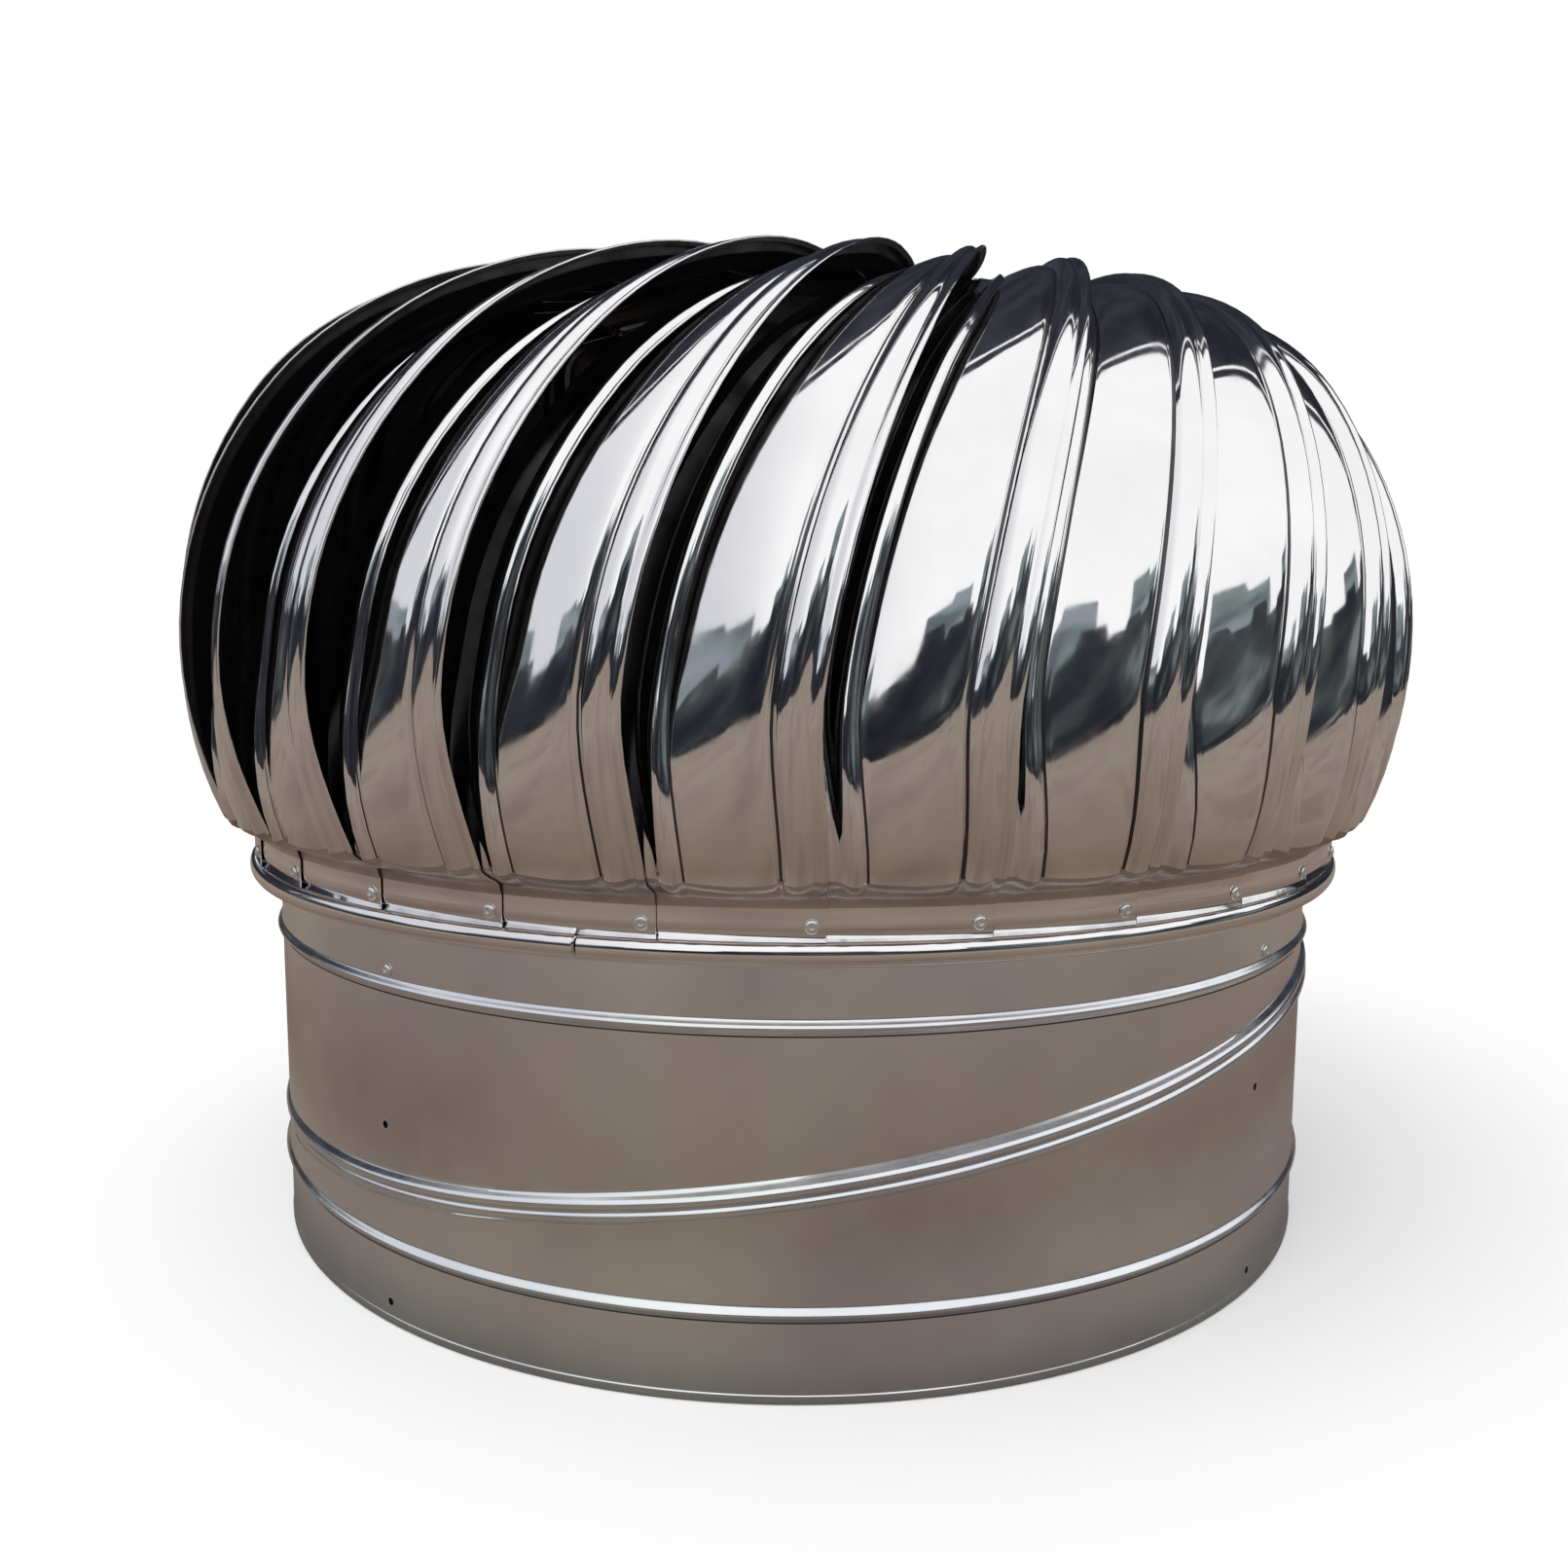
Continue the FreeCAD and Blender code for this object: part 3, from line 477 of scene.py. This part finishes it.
# Across a vane, from the lap over the tucked edge at 0 to the free edge at 1: the place as a share of
# the panel's width, and the height of the rib or the dome there, in mm.
vane_section = [
    (-lap_share, 0.0), (-lap_share / 2, 0.0), (-0.03, 0.0), (-0.008, 0.2), (0.01, 1.0), (0.028, 2.2),
    (0.048, 3.4), (0.072, 4.1), (0.098, 4.1), (0.12, 3.4), (0.136, 2.4), (0.147, 1.6), (0.155, 1.0),
    (0.163, 0.8), (0.171, 1.0), (0.185, 1.4), (0.215, 1.8), (0.27, 2.3), (0.35, 2.9), (0.44, 3.3),
    (0.53, 3.25), (0.61, 2.8), (0.665, 2.0), (0.692, 1.3), (0.706, 0.3), (0.716, -0.5), (0.725, -0.7),
    (0.734, -0.1), (0.748, 1.3), (0.768, 2.5), (0.795, 3.25), (0.825, 3.4), (0.855, 3.0), (0.88, 2.1),
    (0.9, 1.1), (0.914, 0.3), (0.926, 0.1), (0.938, 0.5), (0.955, 1.2), (0.975, 1.4), (0.992, 1.0),
    (1.0, 0.3),
]
crease_places = (0.155, 0.163, 0.716, 0.725)
rib_creases = [k for k, (place, lift) in enumerate(vane_section) if place in crease_places]


def vane_path():
    """Places up a vane: radius, height, lean from upright, and how far its form has come from the tab."""
    tab_heights = (tab_foot, (tab_foot + tab_top) / 2, tab_top - tab_fold)
    places = [(tab_radius, height, 0.0, 0.0) for height in tab_heights]
    foot = (side_middle + side_arc * math.cos(arc_foot), equator + side_arc * math.sin(arc_foot))
    flare = foot[0] - tab_radius
    rise = foot[1] - tab_top
    end_slope = -rise * math.tan(arc_foot)
    for i in range(1, FLARE_STEPS):
        share = i / FLARE_STEPS
        ease = share * share * (3 - 2 * share)
        radius = tab_radius + flare * ease + end_slope * (share ** 3 - share ** 2)
        slope = flare * 6 * share * (1 - share) + end_slope * (3 * share ** 2 - 2 * share)
        places.append((radius, tab_top + rise * share, -math.atan2(slope, rise), ease))
    for i in range(SIDE_STEPS + 1):
        turn = arc_foot + (shoulder_start - arc_foot) * i / SIDE_STEPS
        height = equator + side_arc * math.sin(turn)
        places.append((side_middle + side_arc * math.cos(turn), height, turn, 1.0))
    for i in range(1, SHOULDER_STEPS + 1):
        turn = shoulder_start + (arc_head - shoulder_start) * i / SHOULDER_STEPS
        radius = shoulder_middle + shoulder_arc * math.cos(turn)
        formed = 1.0 if turn <= fade_start else (radius - disc_edge) / (fade_radius - disc_edge)
        places.append((radius, shoulder_height + shoulder_arc * math.sin(turn), turn, formed))
    start, formed = places[-1][0], places[-1][3]
    for share in (0.25, 0.5, 0.75, 1.0):
        places.append((start + (disc_edge - start) * share, crown, math.pi / 2, formed * (1 - share)))
    places.append(((disc_edge + tip_radius) / 2, crown, math.pi / 2, 0.0))
    places.append((tip_radius, crown, math.pi / 2, 0.0))
    return places


def vane_rows():
    """The outer face of a vane, as rows of points from the tab to the tip."""
    places = vane_path()
    run = [0.0]
    for here, there in zip(places, places[1:]):
        run.append(run[-1] + math.hypot(there[0] - here[0], there[1] - here[1]))
    rows = []
    for (radius, height, lean, formed), travelled in zip(places, run):
        twist = crown_twist * (travelled / run[-1]) ** twist_power
        azimuth = twist - PITCH / 2
        outward = Vector((math.sin(azimuth), -math.cos(azimuth), 0))
        along = Vector((math.cos(azimuth), math.sin(azimuth), 0))
        normal = outward * math.cos(lean) + Vector((0, 0, math.sin(lean)))
        opened = min(1.0, max(0.0, height - tab_top) / slot_rise)
        panel = 1 - (1 - panel_share) * opened ** slot_taper
        apart = min(1.0, max(0.0, height - tab_top) / spread_rise)
        apart = apart * apart * (3 - 2 * apart) if lean <= fade_start else formed
        even = (1 + tab_overlap / (tab_radius * PITCH)) / (1 + lap_share)
        if lean > fade_start:
            even = crown_spread / (1 + lap_share)
        width = radius * PITCH * (even + (panel - even) * apart)
        centre = even_middle + (0.5 - even_middle) * apart
        rise = min(1.0, max(0.0, height - tab_top) / tuck_rise)
        rise = rise * rise * (3 - 2 * rise)
        fall = math.cos(max(0.0, lean - shoulder_start))
        sunk = rise if lean <= fade_start else formed
        depth = tuck * (tuck_at_crown + (1 - tuck_at_crown) * fall) * sunk
        depth += tab_tuck * (1 - formed) if height < equator else 0.0
        middle = outward * radius + Vector((0, 0, height))
        row = []
        for share, lift in vane_section:
            side = (share - centre) * width
            sag = side ** 2 * math.cos(lean) / (2 * radius)
            offset = lift * rib_height * formed - depth * (1 - max(0.0, share)) - sag
            row.append(middle + along * side + normal * offset)
        rows.append(row)
    return rows


# Painted shade: the vanes' inner faces are near-black, with darker patches still, for the shade inside the
# head. The real sheet is as bright inside as out.
vane_back = metal(
    "vane_back", (0.12, 0.115, 0.118), (0.075, 0.072, 0.074), 0.5, 0.7, grain=0.3,
    soil_and_shade=((0.012, 0.011, 0.01), 0.5),
)
# Painted shade: a darker metal over the fold above the tabs, where the ring's bright bead would otherwise
# show in the sheet.
fold_painted_shade = metal("fold_painted_shade", (0.66, 0.60, 0.56), (0.44, 0.39, 0.37), 0.3, 0.5)
vane_finishes = [head_steel, crease_painted_shade, fold_painted_shade, vane_back]
first_vane = vane_rows()
vane_columns = len(vane_section) - 1
crease_rows = range(6, len(first_vane) - 6)
fold_rows = range(2, 10)
for k in range(VANES):
    turned = Matrix.Rotation(vane_phase + PITCH * k, 3, "Z")
    rows = [[turned @ point for point in row] for row in first_vane]
    mesh = grid_mesh("vane_pressing_%02d" % (k + 1), rows, wrap_rows=False, wrap_columns=False)
    vane = show(mesh, "rotor", vane_finishes, ["vane_%02d" % (k + 1)], sharp=60)
    # Painted shade in the two grooves beside the ribs.
    paint_shade_strips(vane, vane_columns, rib_creases, crease_rows)
    # The fold rows take the painted shade.
    paint_shade_strips(vane, vane_columns, range(vane_columns), fold_rows, finish=vane_finishes.index(fold_painted_shade))
    side_face = mesh.polygons[len(mesh.polygons) // 2]
    if side_face.normal.dot(Vector(side_face.center)) < 0:
        mesh.flip_normals()
    thickness = vane.modifiers.new("sheet", "SOLIDIFY")
    thickness.thickness = vane_sheet
    thickness.offset = -1.0
    # The inner faces take the painted shade.
    thickness.material_offset = vane_finishes.index(vane_back)
    thickness.material_offset_rim = 0

# Rivets
# Aluminium blind rivets: a low dome with the hole that the snapped-off pin leaves. One goes through
# each pair of vane tabs, and four hold the support arms above the neck's bead.
rivet_radius = 3.2 * MM
rivet_rise = 1.4 * MM
rivet_seat = 0.05 * MM
RIVET_STEPS = 24
# From the head's edge to the floor of its hole, as shares of the head's radius and of its rise.
rivet_section = [
    (1.0, 0.0), (0.99, 0.25), (0.93, 0.5), (0.8, 0.74), (0.6, 0.92), (0.42, 1.0), (0.34, 0.97), (0.3, 0.86),
    (0.28, 0.45),
]
rivet_metal = metal(
    "rivet_aluminium", (0.97, 0.97, 0.97), (0.85, 0.85, 0.86), 0.3, 0.45, soil_and_shade=((0.35, 0.34, 0.33), 0.25)
)


def rivet_heads(name, azimuths, radius, height, body, node):
    """A ring of domed rivet heads, each standing on a round wall."""
    shape = bmesh.new()
    for azimuth in azimuths:
        outward = Vector((math.sin(azimuth), -math.cos(azimuth), 0))
        along = Vector((math.cos(azimuth), math.sin(azimuth), 0))
        rings = []
        for share, rise in rivet_section:
            ring = []
            for k in range(RIVET_STEPS):
                turn = 2 * math.pi * k / RIVET_STEPS
                side = math.cos(turn) * share * rivet_radius
                point = outward * (radius + rise * rivet_rise) + along * side
                point.z = height + math.sin(turn) * share * rivet_radius
                ring.append(shape.verts.new(point))
            rings.append(ring)
        for outer, inner in zip(rings, rings[1:]):
            for k in range(RIVET_STEPS):
                j = (k + 1) % RIVET_STEPS
                shape.faces.new((outer[k], outer[j], inner[j], inner[k]))
        shape.faces.new(rings[-1])
        shape.faces.new(rings[0][::-1])
    mesh = bpy.data.meshes.new(name)
    shape.to_mesh(mesh)
    shape.free()
    return show(mesh, body, [rivet_metal], [node], sharp=55)


vane_rivet_height = tab_foot + 6.7 * MM
rivet_heads(
    "vane_rivet_heads", [vane_phase + PITCH * k for k in range(VANES)], tab_radius + rivet_seat,
    vane_rivet_height, "rotor", "vane_rivets",
)
arm_azimuth = math.radians(51)
arm_rivet_height = neck_bead_height + 7 * MM
rivet_heads(
    "arm_rivet_heads", [arm_azimuth + math.pi / 2 * k for k in range(4)], neck_radius + rivet_seat,
    arm_rivet_height, "upper_neck", "arm_rivets",
)

# Top disc
# A pressed plate over the vane tips, with a raised centre and a turned edge. Four bolts through it
# hold the head on the upper bearing housing.
disc_low, disc_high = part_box("top_disc")
disc_radius = disc_high[0]
disc_bottom = disc_low[2]
disc_top = disc_high[2]
disc_drawn_radius = 149.0
DISC_STEPS = 160
# From the middle of the underside round the edge to the middle of the top: radius in mm, and height.
disc_section = [
    (0.02, disc_bottom), (148.2, disc_bottom), (149.0, disc_bottom + 0.4 * MM),
    (149.0, disc_bottom + 1.1 * MM),
    (148.2, disc_bottom + 1.5 * MM), (130.0, disc_bottom + 1.5 * MM), (126.0, disc_bottom + 2.3 * MM),
    (121.0, disc_bottom + 2.3 * MM), (117.0, disc_bottom + 1.5 * MM), (97.5, disc_bottom + 1.6 * MM),
    (95.5, disc_bottom + 2.4 * MM), (93.0, disc_top - 0.7 * MM), (90.5, disc_top), (24.0, disc_top),
    (20.0, disc_top - 0.6 * MM), (0.02, disc_top - 0.6 * MM),
]
disc_rows = []
for k in range(DISC_STEPS):
    turn = 2 * math.pi * k / DISC_STEPS
    row = []
    for radius, height in disc_section:
        reach = radius * disc_radius / disc_drawn_radius
        row.append(Vector((math.sin(turn) * reach, -math.cos(turn) * reach, height)))
    disc_rows.append(row)
show(
    grid_mesh("top_disc_plate", disc_rows, wrap_columns=False), "rotor", [head_steel],
    ["top_disc"], sharp=35,
)

# Inner works
# Flat bar arms and spokes, the turned hub and shaft, the cast bearing housings and the bearings' races.
# They keep their made shapes, and only take their finishes here.
zinc_bar = metal(
    "zinc_plated_bar", (0.62, 0.63, 0.64), (0.50, 0.51, 0.53), 0.3, 0.45, grain=0.3,
    soil_and_shade=((0.25, 0.24, 0.22), 0.3),
)
cast_alloy = metal(
    "cast_alloy", (0.60, 0.60, 0.61), (0.48, 0.48, 0.49), 0.42, 0.6, wave=1.2, wave_size=220.0
)
turned_steel = metal(
    "turned_steel", (0.68, 0.68, 0.69), (0.58, 0.58, 0.6), 0.18, 0.32, grain=0.6, grain_along=(1, 1, 90)
)
ground_steel = metal("ground_race", (0.76, 0.76, 0.78), (0.68, 0.68, 0.7), 0.08, 0.16, grain=0.2)
plated_bolt = metal(
    "plated_bolt", (0.66, 0.65, 0.6), (0.55, 0.54, 0.5), 0.25, 0.4, soil_and_shade=((0.3, 0.28, 0.24), 0.3)
)
carried = {
    zinc_bar: ["%s_%d" % (bar, k + 1) for bar in ("support_arm", "rotor_spoke") for k in range(4)],
    cast_alloy: ["bearing_housings"],
    turned_steel: ["arm_hub", "shaft", "shaft_spacer"],
    ground_steel: ["bearing_inner_races", "bearing_outer_races"],
    plated_bolt: ["arm_bolts", "spoke_bolts", "housing_bolts", "shaft_nuts"],
}
for finish, nodes in carried.items():
    for node in nodes:
        piece = frame["nodes"][node]
        for place in range(len(piece.material_slots)):
            piece.material_slots[place].material = finish

# Yard
# What the sheet mirrors beyond the white room: brown paving, a kerb, a dark road, low houses and a dark
# roof behind. Cards that only bright metal shows stand for it, and each glows in its own colours.
CARD_STEPS = 240
KERB_STEPS = 24
RING_SCALE = 0.5
yard_reach = 6.0
ground = -1 * MM
card_ways = [2 * math.pi * k / CARD_STEPS for k in range(CARD_STEPS)]


def card(name, points, faces, colour_stops, streak, rings=None):
    """A card in its own colours. Rings are tones that multiply them, by distance from the axis."""
    mesh = bpy.data.meshes.new(name)
    mesh.from_pydata(points, [], faces)
    piece = bpy.data.objects.new(name, mesh)
    bpy.context.scene.collection.objects.link(piece)
    piece.visible_camera = False
    piece.visible_diffuse = False
    piece.visible_shadow = False
    finish = bpy.data.materials.new(name + "_colours")
    finish.use_nodes = True
    start = Wire(finish.node_tree)
    place = start.node("TexCoord", output=3)
    stretch = start.node("Mapping", {}, {"Vector": place, "Scale": streak})
    patches = start.node("TexNoise", {}, {"Vector": stretch, "Scale": 1.0, "Detail": 3.0, "Roughness": 0.5})
    colours = start.node("ValToRGB", {"stops": colour_stops}, {0: patches})
    if rings:
        away = start.node("VectorMath", {"operation": "LENGTH"}, {0: place}, output=1)
        tones = start.node("ValToRGB", {"stops": rings}, {0: away * RING_SCALE})
        product = {"data_type": "RGBA", "blend_type": "MULTIPLY"}
        colours = start.node("Mix", product, {0: 1.0, 6: tones, 7: colours}, output=2)
    shader = finish.node_tree.nodes["Principled BSDF"]
    shader.inputs["Base Color"].default_value = (0, 0, 0, 1)
    shader.inputs["Specular IOR Level"].default_value = 0.0
    shader.inputs["Emission Strength"].default_value = 1.0
    finish.node_tree.links.new(colours.socket, shader.inputs["Emission Color"])
    mesh.materials.append(finish)


def strip(inner, outer):
    """Points and faces of a strip that runs round the yard between two lines."""
    count = len(inner)
    return inner + outer, [(k, (k + 1) % count, (k + 1) % count + count, k + count) for k in range(count)]


def round_yard(away):
    """Points on the ground, all round the ventilator at one distance."""
    return [(away * math.sin(way), -away * math.cos(way), ground) for way in card_ways]


def along_bearing(spot, reach):
    """The point on the ground at the same bearing as a spot of the kerb, at another distance."""
    return Vector((spot.x, spot.y, 0)).normalized() * reach + Vector((0, 0, ground))


mouth_shade = [(0.3, (0.006, 0.006, 0.006)), (0.7, (0.01, 0.01, 0.01))]
card("shade_in_the_neck", round_yard(neck_radius), [tuple(range(CARD_STEPS))], mouth_shade, (3, 3, 3))

# The kerb runs straight between corners, each a bearing from the front and a distance.
kerb_corners = [
    (-180, 3.0), (-135, 3.2), (-80, 3.9), (-30, 3.9), (-6, 2.9), (24, 3.3), (70, 3.9), (125, 3.9), (180, 3.0),
]
kerb_width = 260 * MM
kerb = []
for corners in zip(kerb_corners, kerb_corners[1:]):
    ends = []
    for bearing, reach in corners:
        way = math.radians(bearing)
        ends.append(Vector((reach * math.sin(way), -reach * math.cos(way), ground)))
    kerb += [ends[0].lerp(ends[1], k / KERB_STEPS) for k in range(KERB_STEPS)]
kerb_back = [spot + Vector((spot.x, spot.y, 0)).normalized() * kerb_width for spot in kerb]

points, faces = strip([along_bearing(spot, neck_radius) for spot in kerb], kerb)
paving_tints = [
    (0.36, (0.86, 0.84, 0.87)), (0.48, (1.0, 1.0, 1.0)), (0.56, (1.04, 1.08, 1.02)),
    (0.66, (0.88, 0.86, 0.86)),
]
# Tones by distance from the axis: a painted shadow just round the neck's foot, then paving that lightens
# outwards, with a darker, browner band about half a metre out.
paving_tones_and_foot_shadow = [
    (0.15, (0.12, 0.11, 0.105)), (0.17, (0.215, 0.175, 0.155)), (0.2, (0.242, 0.192, 0.165)),
    (0.25, (0.197, 0.143, 0.115)), (0.4, (0.252, 0.193, 0.163)), (0.75, (0.30, 0.247, 0.213)),
]
card("paving", points, faces, paving_tints, (1.6, 1.2, 1), paving_tones_and_foot_shadow)

points, faces = strip(kerb, kerb_back)
kerb_colours = [
    (0.4, (0.02, 0.02, 0.022)), (0.48, (0.06, 0.06, 0.06)), (0.53, (0.42, 0.4, 0.39)),
    (0.58, (0.1, 0.1, 0.1)), (0.62, (0.16, 0.06, 0.055)), (0.68, (0.03, 0.03, 0.03)),
]
card("kerb", points, faces, kerb_colours, (0.8, 0.8, 1))

points, faces = strip(kerb_back, [along_bearing(spot, yard_reach) for spot in kerb])
road_colours = [
    (0.4, (0.014, 0.015, 0.019)), (0.55, (0.03, 0.032, 0.036)), (0.62, (0.075, 0.075, 0.075)),
    (0.7, (0.2, 0.19, 0.19)),
]
card("road", points, faces, road_colours, (0.3, 0.5, 1))

left_drop = 0.5
house_gap = 0.1
wall_tops = (1.5, 1.7, 1.4, 1.6, 1.45, 1.75, 1.35)
WALL_STEPS = 7
far_tops = (2.4, 0.4, 2.6, 2.3, 0.4, 2.2, 0.4, 2.5)
FAR_STEPS = 11


def row_of_roofs(away, ways_per_house, tops):
    """The line of a row of flat roofs, each as high as the next of the tops, and lower on the left."""
    spots = []
    for k, way in enumerate(card_ways):
        top = tops[k // ways_per_house % len(tops)] * (1 - left_drop * max(0.0, -math.sin(way)))
        spots.append((away * math.sin(way), -away * math.cos(way), top))
    return spots


walls = round_yard(yard_reach)
points, faces = strip(walls, row_of_roofs(yard_reach, WALL_STEPS, wall_tops))
wall_colours = [
    (0.3, (0.012, 0.013, 0.018)), (0.5, (0.025, 0.028, 0.036)), (0.62, (0.06, 0.07, 0.068)),
    (0.72, (0.2, 0.22, 0.24)),
]
card("walls", points, faces, wall_colours, (0.3, 0.3, 0.8))
points, faces = strip(walls, row_of_roofs(yard_reach + house_gap, FAR_STEPS, far_tops))
house_colours = [(0.42, (0.27, 0.3, 0.34)), (0.52, (0.2, 0.25, 0.245)), (0.6, (0.12, 0.14, 0.16))]
card("far_houses", points, faces, house_colours, (0.2, 0.2, 1.2))

# The dark roof overhead ends in a board, with a bright gap before it, all in degrees from its middle.
roof_turn = Vector((-0.1, 0.9, 0.42)).normalized().to_track_quat("Z", "Y")
roof_edge = 62.0
roof_gap = 5
roof_board = 3.6
roof_middle = 0.01
roof_lowest = 0.2
points = []
for tilt in (0.0, roof_edge - roof_gap, roof_edge - roof_board, roof_edge):
    away = math.radians(tilt + roof_middle)
    for way in card_ways:
        spot = Vector((math.sin(away) * math.cos(way), math.sin(away) * math.sin(way), math.cos(away)))
        points.append(tuple((roof_turn @ spot) * yard_reach))
faces = []
for row in (0, 2):
    low, high = row * CARD_STEPS, (row + 1) * CARD_STEPS
    for k in range(CARD_STEPS):
        j = (k + 1) % CARD_STEPS
        faces.append((low + k, low + j, high + j, high + k))
faces = [face for face in faces if min(points[i][2] for i in face) > roof_lowest]
roof_colours = [(0.4, (0.018, 0.019, 0.027)), (0.7, (0.045, 0.047, 0.062))]
card("high_roof", points, faces, roof_colours, (0.6, 0.6, 0.6))

# Floor
# A matt white sheet far wider than the picture, which takes the ventilator's soft shadow. It lies just
# under the neck's foot. Bright metal shows the yard in its place.
floor_reach = 60.0
floor_corners = [(-1, -1), (1, -1), (1, 1), (-1, 1)]
floor_mesh = bpy.data.meshes.new("floor")
floor_mesh.from_pydata([(x * floor_reach, y * floor_reach, 0) for x, y in floor_corners], [], [(0, 1, 2, 3)])
floor = bpy.data.objects.new("floor", floor_mesh)
bpy.context.scene.collection.objects.link(floor)
floor.location.z = -0.3 * MM
floor.visible_glossy = False
floor_paint = bpy.data.materials.new("floor_paint")
floor_paint.use_nodes = True
floor_shader = floor_paint.node_tree.nodes["Principled BSDF"]
floor_shader.inputs["Base Color"].default_value = (1.0, 1.0, 1.0, 1.0)
floor_shader.inputs["Roughness"].default_value = 1.0
floor_shader.inputs["Specular IOR Level"].default_value = 0.0
floor_mesh.materials.append(floor_paint)

# White room
# An even white room all round. In bright metal alone it is a little hazy towards the left, as a pale
# sky over the yard would be.
world = bpy.data.worlds.new("white_room")
bpy.context.scene.world = world
world.use_nodes = True
start = Wire(world.node_tree)
reflected = start.node("LightPath", output=3)
sideways = start.node("SeparateXYZ", {}, {0: start.node("TexCoord")})
hazy, clear = (0.68, 0.69, 0.73, 1.0), (1.0, 1.0, 1.0, 1.0)
haze_share = sideways.clamped(-0.95, -0.2)
haze = start.node("Mix", {"data_type": "RGBA"}, {0: haze_share, 6: hazy, 7: clear}, output=2)
sky = start.node("Mix", {"data_type": "RGBA"}, {0: reflected, 6: clear, 7: haze}, output=2)
world.node_tree.links.new(sky.socket, world.node_tree.nodes["Background"].inputs["Color"])
world.node_tree.nodes["Background"].inputs["Strength"].default_value = 1.0

# Softbox
# One round soft lamp, high on the left in front. It gives the floor its shadow, and bright metal
# doesn't show it.
softbox = bpy.data.lights.new("softbox", "AREA")
softbox.shape = "DISK"
softbox.size = 2.4
softbox.energy = 24
lamp_aim = Vector((0, 0, 0.2))
lamp = bpy.data.objects.new("softbox", softbox)
bpy.context.scene.collection.objects.link(lamp)
lamp.location = (-1.2, -1.4, 2.6)
lamp.rotation_euler = (lamp_aim - lamp.location).to_track_quat("-Z", "Y").to_euler()
lamp.visible_glossy = False

# Camera
# Where the photograph was taken from: a little above the middle of the head, close in front of it.
lens = bpy.data.cameras.new("camera")
lens.sensor_width = 36.0
lens.lens = 33.5
camera = bpy.data.objects.new("camera", lens)
bpy.context.scene.collection.objects.link(camera)
camera_pitch = math.radians(7.25)
camera_roll = math.radians(0.235)
camera.location = (-0.005, -0.894, 0.347)
camera.matrix_world = (
    Matrix.Translation(camera.location)
    @ Matrix.Rotation(math.pi / 2 - camera_pitch, 4, "X")
    @ Matrix.Rotation(camera_roll, 4, "Z")
)
bpy.context.scene.camera = camera
bpy.context.scene.view_settings.view_transform = "Standard"

bpy.context.view_layer.update()
